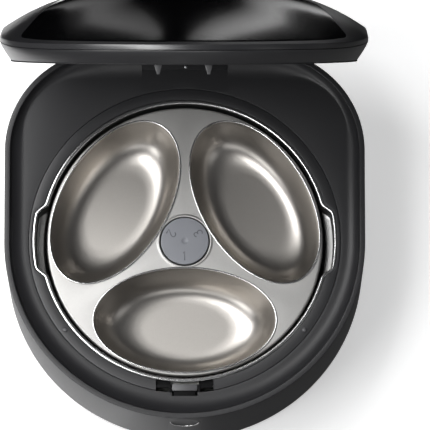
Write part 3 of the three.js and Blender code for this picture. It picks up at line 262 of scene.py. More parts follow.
def pianoBlackAcrylic():
    # Polished acrylic over black: a deep mirror with a faint long ripple from moulding, and fine hairlines.
    return makeFinish(
        "pianoBlackAcrylic", {"IOR": 1.49},
        {"ripple": ("Noise", 70, {"Detail": 1.0}), "hair": ("Noise", 1.6, {"Detail": 2.0})},
        tint=("ripple", lin("#040405"), lin("#070708")),
        gloss=("hair", {"From Min": 0.4, "From Max": 0.75, "To Min": 0.1, "To Max": 0.17}),
        relief=("ripple", {"Strength": 0.03, "Distance": 0.0004}),
    )


def beadBlastedSteel(name, colour, shade, rough):
    # Stainless sheet, bead blasted: a soft silky glow with a grain of about 0.15 mm, drawn at 0.9 mm.
    return makeFinish(
        name, {"Metallic": 1.0},
        {"grain": ("Noise", 0.9, {"Detail": 4.0, "Roughness": 0.7}), "cloud": ("Noise", 60, {"Detail": 2.0})},
        tint=("cloud", lin(colour), lin(shade)),
        speck=("grain", {"From Min": 0.3, "From Max": 0.7, "To Min": 0.9, "To Max": 1.0}),
        gloss=("grain", {"To Min": rough - 0.05, "To Max": rough + 0.05}),
        relief=("grain", {"Strength": 0.12, "Distance": 0.00004}),
    )


def drawnSteel(name, colour, rough, line):
    # Deep-drawn or turned stainless, satin polished: fine marks that run along the pull. The real ones are
    # about 0.2 mm apart, and they are drawn coarser so that they show.
    return makeFinish(
        name, {"Metallic": 1.0}, {"marks": ("Noise", line, {"Detail": 4.0, "Roughness": 0.6})},
        tint=("marks", lin(colour, 0.86), lin(colour)),
        gloss=("marks", {"To Min": rough - 0.05, "To Max": rough + 0.06}),
        relief=("marks", {"Strength": 0.1, "Distance": 0.00005}), stretch=(1.0, 1.0, 0.12),
    )


def softRubber(name, colour, bloom, rough):
    # Silicone rubber: dull, with a bloom of pale dust in its grain.
    return makeFinish(
        name, {"Roughness": rough, "IOR": 1.41}, {"bloom": ("Noise", 3, {"Detail": 5.0})},
        tint=("bloom", lin(colour), lin(bloom)), relief=("bloom", {"Strength": 0.2, "Distance": 0.0001}),
    )


def beadFoam():
    # Expanded foam: pale beads of about 3 mm pressed together, with darker joints.
    return makeFinish(
        "beadFoam", {"Roughness": 0.92}, {"beads": ("Voronoi", 3, {})},
        tint=("beads", lin("#e8e8e4"), lin("#c4c4bf")),
        relief=("beads", {"Strength": 0.4, "Distance": 0.0003, "invert": True}),
    )


def machinedAluminium():
    # Extruded and milled aluminium: pale, with cutter lines about 0.6 mm apart. A wave is 2 pi units long.
    return makeFinish(
        "machinedAluminium", {"Metallic": 1.0},
        {"lines": ("Wave", 0.6 * 6.28, {"Distortion": 0.6, "Detail": 2.0})},
        tint=("lines", lin("#c9cacc"), lin("#b7b9bb")), gloss=("lines", {"To Min": 0.3, "To Max": 0.44}),
        relief=("lines", {"Strength": 0.15, "Distance": 0.00005}),
    )


def solderMask():
    # Green solder mask over copper: glossy lacquer with paler tracks on a 2.5 mm grid.
    material, tree = startMaterial("solderMask")
    where = addNode(tree, "TexCoord").outputs["Object"]
    mask = {"Color1": lin("#14502f"), "Color2": lin("#175a35"), "Mortar": lin("#2f8a55"), "Mortar Size": 0.03}
    tracks = addNode(tree, "TexBrick", {"Scale": 1 / (4 * 2.5 * milli), **mask}, {"Vector": where})
    relief = addNode(tree, "Bump", {"Strength": 0.2, "Distance": 0.00005}, {"Height": tracks.outputs["Fac"]})
    links = {"Base Color": tracks.outputs["Color"], "Normal": relief.outputs[0]}
    shader = addNode(tree, "BsdfPrincipled", {"Roughness": 0.35}, links)
    addNode(tree, "OutputMaterial", links={"Surface": shader.outputs[0]})
    return material


def firedAlumina():
    # Alumina ceramic plates: chalk white, faintly speckled.
    return makeFinish(
        "firedAlumina", {"Roughness": 0.62}, {"speckle": ("Noise", 0.8, {"Detail": 4.0})},
        tint=("speckle", lin("#efede6"), lin("#dad7cd")),
    )


def naturalNylon():
    # Natural nylon: cream, waxy, slightly cloudy.
    return makeFinish(
        "naturalNylon", {}, {"cloud": ("Noise", 12, {"Detail": 3.0})},
        tint=("cloud", lin("#e9e4d6"), lin("#d8d1bf")), gloss=("cloud", {"To Min": 0.4, "To Max": 0.55}),
    )


def zincPlate():
    # Zinc-plated steel screws: cool grey with a patchy passivated film.
    return makeFinish(
        "zincPlate", {"Metallic": 1.0}, {"patches": ("Noise", 2.2, {"Detail": 3.0})},
        tint=("patches", lin("#c2c6ca"), lin("#a5a9ac")), gloss=("patches", {"To Min": 0.25, "To Max": 0.42}),
    )


# ABS: colour, worn colour, grain in millimetres, roughness, strength of the bump and of the reflection
finishes = {
    "housing": mouldedAbs("blackAbsHousing", "#29292b", "#2e2e30", 0.9, 0.46, 0.25, 0.5),
    "cover": mouldedAbs("blackAbsCover", "#222224", "#272729", 0.9, 0.38, 0.25, 0.45),
    "ringAbs": mouldedAbs("blackAbsRing", "#222224", "#272729", 0.9, 0.38, 0.2, 0.45),
    "lidAbs": mouldedAbs("blackAbsLid", "#212123", "#262628", 0.8, 0.31, 0.2, 0.8),
    # a near-black copy of the black ABS, with a dull reflection: painted shade for the latch slots, the cap's
    # gap and the parts in the slots
    "paintedShadeAbs": mouldedAbs("blackAbsPaintedShade", "#050506", "#070708", 1.2, 0.7, 0.2, 0.15),
    "innerAbs": mouldedAbs("blackAbsInner", "#1b1b1d", "#232325", 1.2, 0.58, 0.3, 0.3),
    "hookAbs": mouldedAbs("greyAcetalHook", "#4a4a4c", "#525254", 0.7, 0.4, 0.15, 0.45),
    "capAbs": mouldedAbs("greyAbsCap", "#888a90", "#82848a", 0.8, 0.5, 0.2, 0.4),
    "inkGrey": mouldedAbs("darkPadInk", "#55575c", "#5c5e63", 0.5, 0.6, 0.1, 0.3),
    "panel": pianoBlackAcrylic(),
    "plate": beadBlastedSteel("beadBlastedTray", "#bfbebc", "#b5b4b2", 0.52),
    "bowl": drawnSteel("satinDrawnBowl", "#bdb9b4", 0.34, 1.2),
    # paler, smoother steel for top edges: real polish, and a paler colour that paints their highlight
    "polishedHighlightEdge": drawnSteel("polishedSteelPaintedHighlight", "#dcdcdc", 0.2, 0.8),
    "well": drawnSteel("satinSteelWell", "#a9a9a8", 0.36, 1.0),
    "pinSteel": drawnSteel("groundSteelPin", "#b9bbbd", 0.22, 0.6),
    "rubber": softRubber("blackSiliconeRubber", "#141415", "#262628", 0.85),
    "foam": beadFoam(),
    "aluminium": machinedAluminium(),
    "board": solderMask(),
    "ceramic": firedAlumina(),
    "nylon": naturalNylon(),
    "zinc": zincPlate(),
}
print("stage: finishes", len(finishes))


# shared shapes
body = {
    "half": 152.5, "front": -3.5, "rear": 165.0, "corner": 89.0,
    "rimTop": 100.0, "deckTop": 90.0, "rimLand": 4.5, "directions": 240, "overrun": 1.0,
}
foot = {"half": 137.0, "rear": 141.5, "corner": 47.0, "front": 1.2}  # of the hollow inner wall
axisRadius = 0.001  # in millimetres, for the middle of a turned piece
crispAngle = 35  # in degrees: edges bent more than this stay crisp, or are broken
sameSpot = 1e-7  # in metres: points closer than this are one
cutSpot = 2e-6  # the same after a boolean


def turns(count):
    # even directions round a full turn
    return [2 * math.pi * i / count for i in range(count)]


def mix(a, b, t):
    return a + (b - a) * t


def smooth(t):
    t = min(max(t, 0), 1)
    return t * t * (3 - 2 * t)


def inset(plan, amount):
    return {**plan, **{side: plan[side] - amount for side in ("half", "rear", "corner")}}


def reach(plan, angle):
    # distance from the axis to a plan that is round in front and squarish at the rear
    half, front, rear, corner = plan["half"], plan["front"], plan["rear"], plan["corner"]
    c, s = math.cos(angle), math.sin(angle)
    onFront = front * s + math.sqrt(half * half - front * front * c * c)
    if onFront * s <= front:
        return onFront
    onSide = half / max(abs(c), 1e-9)
    if onSide * s <= rear - corner:
        return onSide
    onRear = rear / s
    if abs(onRear * c) <= half - corner:
        return onRear
    along = (half - corner) * abs(c) + (rear - corner) * s
    apart = (half - corner) ** 2 + (rear - corner) ** 2
    return along + math.sqrt(along * along - apart + corner * corner)


evenAngles = turns(body["directions"])


def ring(distance, height, angles=evenAngles):
    # distance from the axis: one number, or a function of the direction
    rows = []
    for angle in angles:
        r = distance(angle) if callable(distance) else distance
        rows.append((r * math.cos(angle), r * math.sin(angle), height))
    return np.array(rows)


def onBody(amount, plan=body):
    return lambda angle: reach(inset(plan, amount), angle)


def soften(rings, widths, closed=True, steps=4):
    # rounds the corner at each ring whose width isn't zero, along its own profile, over less than half a side
    sideShare, least = 0.48, 1e-6
    out = []
    count = len(rings)
    for i, (corner, width) in enumerate(zip(rings, widths)):
        if not width or (not closed and i in (0, count - 1)):
            out.append(corner)
            continue
        before, after = rings[i - 1], rings[(i + 1) % count]
        ends = []
        for way in (before - corner, after - corner):
            length = np.maximum(np.linalg.norm(way, axis=1, keepdims=True), least)
            ends.append(corner + way * np.minimum(width / length, sideShare))
        start, end = ends
        for k in range(steps + 1):
            t = k / steps
            out.append((1 - t) ** 2 * start + 2 * t * (1 - t) * corner + t * t * end)
    return out


def smoothMesh(mesh, sharp=crispAngle):
    mesh.shade_smooth()
    mesh.set_sharp_from_angle(angle=math.radians(sharp))


def weld(mesh, distance):
    # joins points that lie on each other, drops the slivers between them and turns all faces outward
    work = bmesh.new()
    work.from_mesh(mesh)
    bmesh.ops.remove_doubles(work, verts=work.verts, dist=distance)
    bmesh.ops.dissolve_degenerate(work, edges=work.edges, dist=distance / 10)
    bmesh.ops.recalc_face_normals(work, faces=work.faces)
    work.to_mesh(mesh)
    work.free()


def breakEdges(mesh, width, segments, sharp=crispAngle):
    # a small round on every crisp edge, for the light to catch
    work = bmesh.new()
    work.from_mesh(mesh)
    least = math.radians(crispAngle)
    crisp = [e for e in work.edges if len(e.link_faces) == 2 and e.calc_face_angle(0) > least]
    bmesh.ops.bevel(work, geom=crisp, offset=width * milli, segments=segments, profile=0.5, affect="EDGES",
                    clamp_overlap=True)
    work.to_mesh(mesh)
    work.free()
    smoothMesh(mesh, sharp)


def meshFrom(name, points, faces, sharp=40):
    mesh = bpy.data.meshes.new(name)
    mesh.from_pydata([tuple(p * milli) for p in points], [], faces)
    weld(mesh, sameSpot)
    mesh.validate()
    smoothMesh(mesh, sharp)
    return linkIn(bpy.data.objects.new(name, mesh))


def shell(name, rings, capped=False, sharp=40, move=None):
    # skins a stack of rings: a tube that closes on itself, or a solid with a fan at each end
    count = len(rings[0])
    points = np.concatenate(rings)
    faces = []
    for i in range(len(rings) if not capped else len(rings) - 1):
        low, high = i * count, ((i + 1) % len(rings)) * count
        for j in range(count):
            k = (j + 1) % count
            faces.append((low + j, low + k, high + k, high + j))
    if capped:
        for at, down in ((0, True), ((len(rings) - 1) * count, False)):
            centre = len(points)
            points = np.vstack([points, points[at:at + count].mean(axis=0)])
            for j in range(count):
                k = (j + 1) % count
                faces.append((centre, at + k, at + j) if down else (centre, at + j, at + k))
    if move:
        points = move(points)
    return meshFrom(name, points, faces, sharp)


def spun(name, profile, widths, centre=(0, 0), sides=96, steps=4, move=None):
    # a turned piece: profile of (radius, height) from the axis back to the axis
    rings = [ring(max(r, axisRadius), z, turns(sides)) + np.array([*centre, 0]) for r, z in profile]
    return shell(name, soften(rings, widths, False, steps), True, move=move)


def bar(name, x0, x1, y0, y1, z0, z1, bevel=0.0):
    corners = [(x, y, z) for x in (x0, x1) for y in (y0, y1) for z in (z0, z1)]
    faces = [(0, 1, 3, 2), (4, 6, 7, 5), (0, 4, 5, 1), (2, 3, 7, 6), (0, 2, 6, 4), (1, 5, 7, 3)]
    obj = meshFrom(name, np.array(corners, dtype=float), faces)
    if bevel:
        breakEdges(obj.data, bevel, 3, 40)
    return obj


def rodAlong(name, radius, start, end, sides=40):
    # a round bar between two points, with slightly broken ends
    start, end = Vector(start), Vector(end)
    length, most, radiusShare = (end - start).length, 0.4, 0.25
    edge = min(most, radius * radiusShare)
    half = [(0, 0), (radius - edge, 0), (radius, edge)]
    profile = half + [(r, length - z) for r, z in reversed(half)]
    turn = np.array((end - start).to_track_quat("Z", "Y").to_matrix())
    move = lambda points: points @ turn.T + np.array(start)
    return spun(name, profile, [0] * len(profile), sides=sides, move=move)


def combine(obj, others, how):
    # one boolean after another, with the exact solver
    for other in others:
        step = obj.modifiers.new("step", "BOOLEAN")
        step.operation = how
        step.solver = "EXACT"
        step.object = other
        bpy.context.view_layer.update()
        graph = bpy.context.evaluated_depsgraph_get()
        made = bpy.data.meshes.new_from_object(obj.evaluated_get(graph))
        obj.modifiers.clear()
        old = obj.data
        obj.data = made
        bpy.data.meshes.remove(old)
        bpy.data.objects.remove(other)
    smoothMesh(obj.data)
    return obj


def dress(obj, finish, rides, slot, *nodes):
    obj.data.materials.clear()
    obj.data.materials.append(finishes[finish])
    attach(obj, rides)
    if nodes:
        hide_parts(*nodes)


def paint(obj, finish, test):
    # a second finish, for the faces whose middle in millimetres passes a test
    obj.data.materials.append(finishes[finish])
    for face in obj.data.polygons:
        if test(*(v / milli for v in face.center)):
            face.material_index = 1


# outer housing
housing = {
    "top": 98.6, "wall": 2.6, "draft": 1.0, "bottom": 3.0, "foot": 10.0, "footSteps": 14, "innerFoot": 5.5,
    "pocketHalf": 38.8, "pocketFront": 141.5, "pocketBottom": 87.2,
    "buttonBore": 13.0, "boreFront": -158, "boreRear": -150, "buttonZ": 81.5,
    "inletBore": 5.5, "inletX": 50, "inletFront": 160, "inletRear": 167, "inletZ": 20,
    "vents": 9, "ventPitch": 8.0, "ventHalf": 1.5, "ventFront": 158, "ventBottom": 16, "ventTop": 42,
    "ventRound": 0.7,
}


def makeHousing():
    h = housing
    rings = []
    for i in range(h["footSteps"] + 1):
        turn = i / h["footSteps"] * math.pi / 2
        inward = h["draft"] + h["foot"] * (1 - math.sin(turn))
        rings.append(ring(onBody(inward), h["bottom"] + h["foot"] * (1 - math.cos(turn))))
    inside, bottom = h["wall"] + h["draft"], h["bottom"]
    rings += [
        ring(onBody(0), h["top"]), ring(onBody(h["wall"]), h["top"]),
        ring(onBody(inside), bottom + h["foot"]),
        ring(onBody(inside + h["foot"]), bottom + h["innerFoot"]), ring(onBody(inside + h["foot"]), bottom),
    ]
    widths = [0.3] + [0] * h["footSteps"] + [0.45, 0, 0, 0, 0.3]
    wall = shell("housingWall", soften(rings, widths, True, 3))
    rear, rim = body["rear"] + body["overrun"], body["rimTop"] + body["overrun"]
    cutters = [bar("cut", -h["pocketHalf"], h["pocketHalf"], h["pocketFront"], rear, h["pocketBottom"], rim)]
    start, end = [(0, h[y], h["buttonZ"]) for y in ("boreFront", "boreRear")]
    cutters.append(rodAlong("cut", h["buttonBore"], start, end, 64))
    start, end = [(h["inletX"], h[y], h["inletZ"]) for y in ("inletFront", "inletRear")]
    cutters.append(rodAlong("cut", h["inletBore"], start, end))
    for i in range(h["vents"]):
        x = (i - (h["vents"] - 1) / 2) * h["ventPitch"]
        cutters.append(bar("cut", x - h["ventHalf"], x + h["ventHalf"], h["ventFront"], rear,
                           h["ventBottom"], h["ventTop"], h["ventRound"]))
    combine(wall, cutters, "DIFFERENCE")
    dress(wall, "housing", "base", "shell_plastic", "outer_housing")


makeHousing()
print("stage: outer housing")


# top cover
cover = {
    "thickness": 1.1, "outerStep": 2.9, "hole": 132.2, "deckThickness": 2.5, "hollowSteps": 10,
    "hollowStep": 8, "ledge": 129.7, "ledgeDrop": 2.8, "ledgeDepth": 5.0, "underTurn": 39,
    "cheeks": (-38.5, 38.5, 139.0, 164.0, 87.5, 100.0), "pocket": (-36.3, 36.3, 132.2, 166.0, 90.0, 101.0),
    "slot": (-24.3, 24.3, -130.5, -124.7, 84.0, 91.0), "slotStep": (-10.9, 10.9, -134.7, -130.2, 84.0, 91.0),
    "ribs": [(side, side + 2.3, -131.0, -124.9, 87.7, 89.9, 0.2) for side in (-13.4, 11.1)],
    "shadeInner": 10.8, "shadeOuter": 13.5, "shadeFront": -130.6, "shadeRear": -124.0,
}


def hollow(outer, inner, turn):
    # part of the way down the hollow inner wall
    mixed = outer + (inner - outer) * (1 - math.cos(turn))
    mixed[:, 2] = outer[:, 2] + (inner[:, 2] - outer[:, 2]) * math.sin(turn)
    return mixed


def makeCover():
    c = cover
    top, deck = body["rimTop"], body["deckTop"]
    under, ledgeTop, ledgeBottom = top - c["thickness"], deck - c["ledgeDrop"], deck - c["ledgeDepth"]
    land, deckFoot = ring(onBody(body["rimLand"]), top), ring(onBody(0, foot), deck)
    underInner = ring(onBody(c["outerStep"]), under)
    underFoot = ring(onBody(-c["deckThickness"], foot), deck - c["deckThickness"])
    inner = [hollow(land, deckFoot, math.radians(c["hollowStep"] * (i + 1))) for i in range(c["hollowSteps"])]
    rings = [
        ring(c["ledge"], ledgeBottom), ring(c["hole"] + c["deckThickness"], ledgeBottom), underFoot,
        hollow(underInner, underFoot, math.radians(c["underTurn"])), underInner,
        ring(onBody(0), under), ring(onBody(0), top), land, *inner, deckFoot,
        ring(c["hole"], deck), ring(c["hole"], ledgeTop), ring(c["ledge"], ledgeTop),
    ]
    widths = [0, 0, 0, 0, 0, 0.2, 0.55, 0.5] + [0] * len(inner) + [1.2, 0.25, 0, 0]
    made = shell("topCover", soften(rings, widths))
    above = ring(onBody(body["rimLand"]), top + body["overrun"])
    within = shell("cut", [deckFoot, *reversed(inner), land, above], True)
    combine(made, [combine(bar("cheeks", *c["cheeks"]), [within], "DIFFERENCE")], "UNION")
    combine(made, [bar("cut", *c[part]) for part in ("pocket", "slot", "slotStep")], "DIFFERENCE")
    combine(made, [bar("rib", *rib) for rib in c["ribs"]], "UNION")
    weld(made.data, cutSpot)
    dress(made, "cover", "base", "cover_plastic", "top_cover")
    # painted shade: the walls of the latch slots get the near-black ABS
    paint(made, "paintedShadeAbs", lambda x, y, z: c["shadeInner"] < abs(x) < c["shadeOuter"]
          and c["shadeFront"] < y < c["shadeRear"])


makeCover()
print("stage: top cover")


# cooling well, its ring and studs
well = {
    "radius": 119.3, "wall": 2.0, "floor": 48.0, "bottom": 46.0, "corner": 8.0, "hole": 16.0, "collar": 3.0,
    "rim": 3.1, "rimTop": 90.3, "rimThickness": 1.5, "rimStep": 0.3, "highlightDepth": 1.35, "sides": 480,
    "fingerOut": 7.1, "fingerRim": 2.4, "fingerDepth": 18.0, "fingerFlat": 10.2, "fingerEnd": 15.6,
    "ledgeDrops": (1, 2, 3),
}


def fingerShare(angle):
    off = math.degrees(abs(math.asin(math.sin(angle))))
    return 1 - smooth((off - well["fingerFlat"]) / (well["fingerEnd"] - well["fingerFlat"]))


def wellEdge(radius, out):
    return lambda angle: radius + out * fingerShare(angle)


def makeWell():
    w = well
    hole, wall, corner, finger, top = w["hole"], w["wall"], w["corner"], w["fingerOut"], w["rimTop"]
    outside, rimOut = w["radius"] + wall, w["radius"] + w["rim"]
    rimBottom, ledge = top - w["rimThickness"], body["deckTop"] - w["fingerDepth"]
    fingerWall = finger - wall + w["fingerRim"] - w["rimStep"]
    fingerRimOut = finger + w["fingerRim"] - w["rim"]
    ledgeInner, ledgeOuter, ledgeFoot = [ledge - drop for drop in w["ledgeDrops"]]
    section = [
        (hole, w["bottom"]), (outside - corner, w["bottom"]),
        (outside, w["bottom"] + corner), (outside, ledgeFoot),
        (wellEdge(outside, fingerWall), ledgeOuter), (wellEdge(outside, fingerWall), rimBottom),
        (wellEdge(rimOut, fingerRimOut), rimBottom + w["rimStep"]), (wellEdge(rimOut, fingerRimOut), top),
        (wellEdge(w["radius"], finger), top), (wellEdge(w["radius"], finger), ledge),
        (w["radius"], ledgeInner), (w["radius"], w["floor"] + corner), (w["radius"] - corner, w["floor"]),
        (hole + wall, w["floor"]), (hole + wall, w["floor"] + w["collar"]), (hole, w["floor"] + w["collar"]),
    ]
    widths = [0, 3, 3, 0, 0, 0, 0.3, 1.2, 1.2, 1.5, 0.8, 4, 4, 0.8, 0.4, 0.4]
    rings = [ring(distance, z, turns(w["sides"])) for distance, z in section]
    made = shell("wellCup", soften(rings, widths, True, 5))
    dress(made, "well", "base", "bright_steel", "cooling_well")
    # painted highlight: the top of the rim gets the paler, polished steel
    paint(made, "polishedHighlightEdge", lambda x, y, z: z > top - w["highlightDepth"])


# black trays of painted shade hide the insulation below the latch slots, with a grey one between them: angles
# from the front, reach, height and finish
slotTrays = {
    "slotShadeTrayLeft": ((-11.4, -5.5), 127.0, 86.6, "paintedShadeAbs"),
    "slotTrayMiddle": ((-5.2, 5.2), 122.6, 88.4, "hookAbs"),
    "slotShadeTrayRight": ((5.5, 11.4), 127.0, 86.6, "paintedShadeAbs"),
}
slotTray = {"inner": 121.45, "thickness": 1.2, "steps": 8}


def makeSlotTray(name):
    (start, end), outer, top, finish = slotTrays[name]
    inner, steps = slotTray["inner"], slotTray["steps"]
    low = top - slotTray["thickness"]
    corners = [(inner, low), (outer, low), (outer, top), (inner, top)]
    rows = []
    for i in range(steps + 1):
        turn = math.radians(-90 + start + (end - start) * i / steps)
        rows.append(np.vstack([ring(r, z, [turn]) for r, z in corners]))
    dress(shell(name, rows, True), finish, "base", "cover_plastic")


deckRing = {"gap": 0.3, "outer": 131.9, "bottom": 87.5, "slot": (-24.3, 24.3, -134, -118.1, 86, 91.5)}


def makeRing():
    r, w, top = deckRing, well, body["deckTop"]
    inner = wellEdge(w["radius"] + w["rim"] + r["gap"], w["fingerOut"] + w["fingerRim"] - w["rim"])
    section = [(inner, r["bottom"]), (r["outer"], r["bottom"]), (r["outer"], top), (inner, top)]
    rings = [ring(distance, z, turns(w["sides"])) for distance, z in section]
    made = shell("wellRing", soften(rings, [0, 0, 0.3, 0.3], True, 3))
    combine(made, [bar("cut", *r["slot"])], "DIFFERENCE")
    dress(made, "ringAbs", "base", "cover_plastic", "well_ring")


stud = {
    "reach": 127.3, "angle": 37.6,
    "profile": [(0, 90.3), (2.1, 90.3), (2.0, 90.8), (1.3, 91.35), (0, 91.5)],
}


def makeStud(side, name):
    turn = math.radians(stud["angle"])
    centre = (side * stud["reach"] * math.cos(turn), -stud["reach"] * math.sin(turn))
    made = spun(name + "Bead", stud["profile"], [0, 0, 0.3, 0.3, 0], centre, 32)
    dress(made, "hookAbs", "base", "dark_plastic", name)


makeWell()
makeRing()
for name in slotTrays:
    makeSlotTray(name)
makeStud(-1, "ring_stud_left")
makeStud(1, "ring_stud_right")
print("stage: well, ring and studs")


# tray plate, bowls and cap
tray = {
    "radius": 116.7, "top": 86.0, "sheet": 1.5, "skirt": 4.0, "hub": 13.8, "hubDrop": 0.5, "sides": 360,
    "beadSection": [(23.6, 0), (22.6, 0.5), (21.4, 0.4), (21.0, -0.5)],  # radius, and height over the plate
    "long": 76.6, "short": 44.6, "out": 68.3, "depth": 34.0, "bowlSheet": 1.0, "wallSheet": 0.5,
    "holeGap": 0.8, "lipFoot": 0.3, "lip": 1.6, "lipTop": (1.5, 0.2), "lipHeight": 0.9, "lipShine": 0.05,
    "bowls": 3, "bowlTurn": 120, "bowlSides": 128, "floorShare": 0.9,
}
bowlDepthShares = [0, 0.06, 0.16, 0.3, 0.45, 0.6, 0.73, 0.84, 0.92, 0.97, 0.995, 1.0]
bowlWidthShares = [1.0, 0.985, 0.975, 0.958, 0.93, 0.893, 0.85, 0.795, 0.725, 0.65, 0.56, 0.46]


def bowlRing(share, z, grow=0.0):
    t = tray
    angles = np.linspace(0, 2 * math.pi, t["bowlSides"], endpoint=False)
    x = (t["long"] * share + grow) * np.cos(angles)
    y = (t["short"] * share + grow) * np.sin(angles) - t["out"]
    return np.stack([x, y, np.full_like(x, z)], axis=1)


def turned(points, degrees):
    c, s = math.cos(math.radians(degrees)), math.sin(math.radians(degrees))
    return points @ np.array([[c, s, 0], [-s, c, 0], [0, 0, 1]])


def makePlate():
    t = tray
    r, top, sheet = t["radius"], t["top"], t["sheet"]
    section = [
        (r - sheet, top - t["skirt"]), (r, top - t["skirt"]), (r, top),
        *[(radius, top + up) for radius, up in t["beadSection"]],
        (t["hub"], top - t["hubDrop"]), (t["hub"], top - sheet), (r - 2 * sheet, top - sheet),
    ]
    rings = [ring(radius, z, turns(t["sides"])) for radius, z in section]
    made = shell("trayPlate", soften(rings, [0.3, 0.4, 2.0, 0.6, 0.5, 0.4, 0.2, 0.2, 0.2, 0.6], True, 6))
    holes = []
    for i in range(t["bowls"]):
        ends = [bowlRing(1, top - 2 * sheet, t["holeGap"]), bowlRing(1, top + sheet, t["holeGap"])]
        holes.append(shell("cut", ends, True, move=lambda points: turned(points, t["bowlTurn"] * i)))
    combine(made, holes, "DIFFERENCE")
    dress(made, "plate", "turntable", "satin_steel", "tray_plate")


def makeBowl(i, name):
    t = tray
    lip = t["top"] + t["lipFoot"]
    inside, outside = [], []
    for width, depth in zip(bowlWidthShares, bowlDepthShares):
        z = t["top"] - t["depth"] * depth
        sheet = t["bowlSheet"] if depth > t["floorShare"] else t["wallSheet"]
        inside.append(bowlRing(width, z))
        outside.append(bowlRing(width, z - sheet, t["bowlSheet"]))
    rolled = [bowlRing(1, lip, grow) for grow in (t["wallSheet"], t["lip"])]
    rolled += [bowlRing(1, lip + t["lipHeight"], grow) for grow in t["lipTop"]]
    stack = [*reversed(outside[1:]), *rolled, *inside]
    widths = [0] * len(outside[1:]) + [0.1, 0.4, 0.7, 0.8, 0.4] + [0] * (len(inside) - 1)
    move = lambda points: turned(points, t["bowlTurn"] * i)
    made = shell(name + "Cup", soften(stack, widths, False), True, 60, move)
    dress(made, "bowl", "turntable", "satin_steel", name)
    # painted highlight: the top of the lip gets the paler, polished steel
    paint(made, "polishedHighlightEdge", lambda x, y, z: z > lip + t["lipShine"])


cap = {
    "radius": 20.2, "bottom": 86.3, "height": 1.6,
    "dimple": 3.0, "dimpleInner": 1.5, "dimpleDepths": (0.65, 0.8),
    "socket": [(0, 57.0), (13.5, 57.0), (13.5, 82.3), (16.7, 82.5), (16.7, 84.0), (13.5, 84.2), (13.5, 86.5),
               (0, 86.5)],
    "hexagon": 9.3, "hexagonEnds": (50, 84.8), "sides": 160,
    "gapShade": [(20.35, 85.6), (20.95, 85.6), (20.95, 86.3), (20.35, 86.3)],
    "digitHeight": 7.4, "digitOut": 13.0, "digitZ": 87.75, "pen": 0.42,
}


def makeCap():
    c = cap
    top = c["bottom"] + c["height"]
    profile = [(0, c["bottom"]), (c["radius"], c["bottom"]), (c["radius"], top), (c["dimple"], top),
               (c["dimpleInner"], top - c["dimpleDepths"][0]), (0, top - c["dimpleDepths"][1])]
    made = spun("capDisc", profile, [0, 0.2, 0.6, 0.5, 0.8, 0], sides=c["sides"], steps=5)
    socket = spun("socket", c["socket"], [0, 0.4, 0.3, 0.3, 0.3, 0.3, 0, 0])
    bore = shell("cut", [ring(c["hexagon"], z, turns(6)) for z in c["hexagonEnds"]], True)
    combine(socket, [bore], "DIFFERENCE")
    combine(made, [socket], "UNION")
    dress(made, "capAbs", "turntable", "cap_plastic", "centre_cap")


def makeCapGapShade():
    # a near-black ring fills the gap between the cap and the tray's bead: painted shade for the dark gap
    rings = [ring(r, z, turns(cap["sides"])) for r, z in cap["gapShade"]]
    made = shell("capGapShade", soften(rings, [0, 0, 0.15, 0.15], True, 2))
    dress(made, "paintedShadeAbs", "turntable", "cap_plastic")


# digits as strokes on a grid 4 wide and 7 high, drawn with a round pen
digitStrokes = {
    "1": [[(0.7, 5.6), (2.0, 7.0), (2.0, 0.0)]],
    "2": [[(0.1, 5.4), (0.45, 6.4), (1.3, 7.0), (2.6, 7.0), (3.6, 6.3), (3.9, 5.2), (3.5, 4.1), (2.6, 3.0),
           (0.1, 0.0), (4.0, 0.0)]],
    "3": [[(0.2, 6.0), (1.0, 6.8), (2.1, 7.0), (3.2, 6.6), (3.7, 5.6), (3.4, 4.5), (2.5, 3.8), (1.5, 3.7)],
          [(2.5, 3.8), (3.6, 3.1), (4.0, 1.9), (3.5, 0.7), (2.3, 0.0), (1.1, 0.1), (0.1, 0.9)]],
}
digitGrid = (4, 7)


def makeDigit(text, angle):
    wide, high = digitGrid
    size = cap["digitHeight"] / high
    curve = bpy.data.curves.new("digit" + text, "CURVE")
    curve.dimensions = "3D"
    curve.bevel_depth = cap["pen"] * milli
    curve.bevel_resolution = 2
    curve.use_fill_caps = True
    turn = math.radians(angle)
    outward = np.array([math.cos(turn), math.sin(turn)])
    right = np.array([-outward[1], outward[0]])
    for stroke in digitStrokes[text]:
        spline = curve.splines.new("POLY")
        spline.points.add(len(stroke) - 1)
        for point, (u, v) in zip(spline.points, stroke):
            x, y = outward * (cap["digitOut"] - (v - high / 2) * size) + right * (u - wide / 2) * size
            point.co = (x * milli, y * milli, cap["digitZ"] * milli, 1)
    holder = linkIn(bpy.data.objects.new("digitCurve", curve))
    bpy.context.view_layer.update()
    mesh = bpy.data.meshes.new_from_object(holder.evaluated_get(bpy.context.evaluated_depsgraph_get()))
    bpy.data.objects.remove(holder)
    weld(mesh, cutSpot)
    mesh.shade_smooth()
    dress(linkIn(bpy.data.objects.new("capDigit" + text, mesh)), "inkGrey", "turntable", "cap_plastic")


makePlate()
for index, node in enumerate(("bowl_front", "bowl_right", "bowl_left")):
    makeBowl(index, node)
makeCap()
makeCapGapShade()
for text, angle in (("1", 270), ("2", 150), ("3", 30)):
    makeDigit(text, angle)
print("stage: tray, bowls and cap")


# latch button, slider and hooks
button = {
    "z": 81.5, "radius": 12.7, "back": -149.0, "flange": 14.6, "flangeFront": -151.2, "neck": -151.4,
    # radius, and depth of the face under the housing's surface
    "dish": [(12.7, 0.1), (11.6, 0.15), (9.2, 0.75), (5.715, 1.15), (axisRadius, 1.3)],
    "cut": (-16, 16, -154.2, -148, 90, 99), "sides": 96,
}


def frontSurface(x):
    return body["front"] - math.sqrt(body["half"] ** 2 - x * x)


def buttonRing(radius, push, back=None):
    rows = []
    for turn in turns(button["sides"]):
        x, z = radius * math.cos(turn), button["z"] + radius * math.sin(turn)
        rows.append((x, (frontSurface(x) + push) if back is None else back, z))
    return np.array(rows)


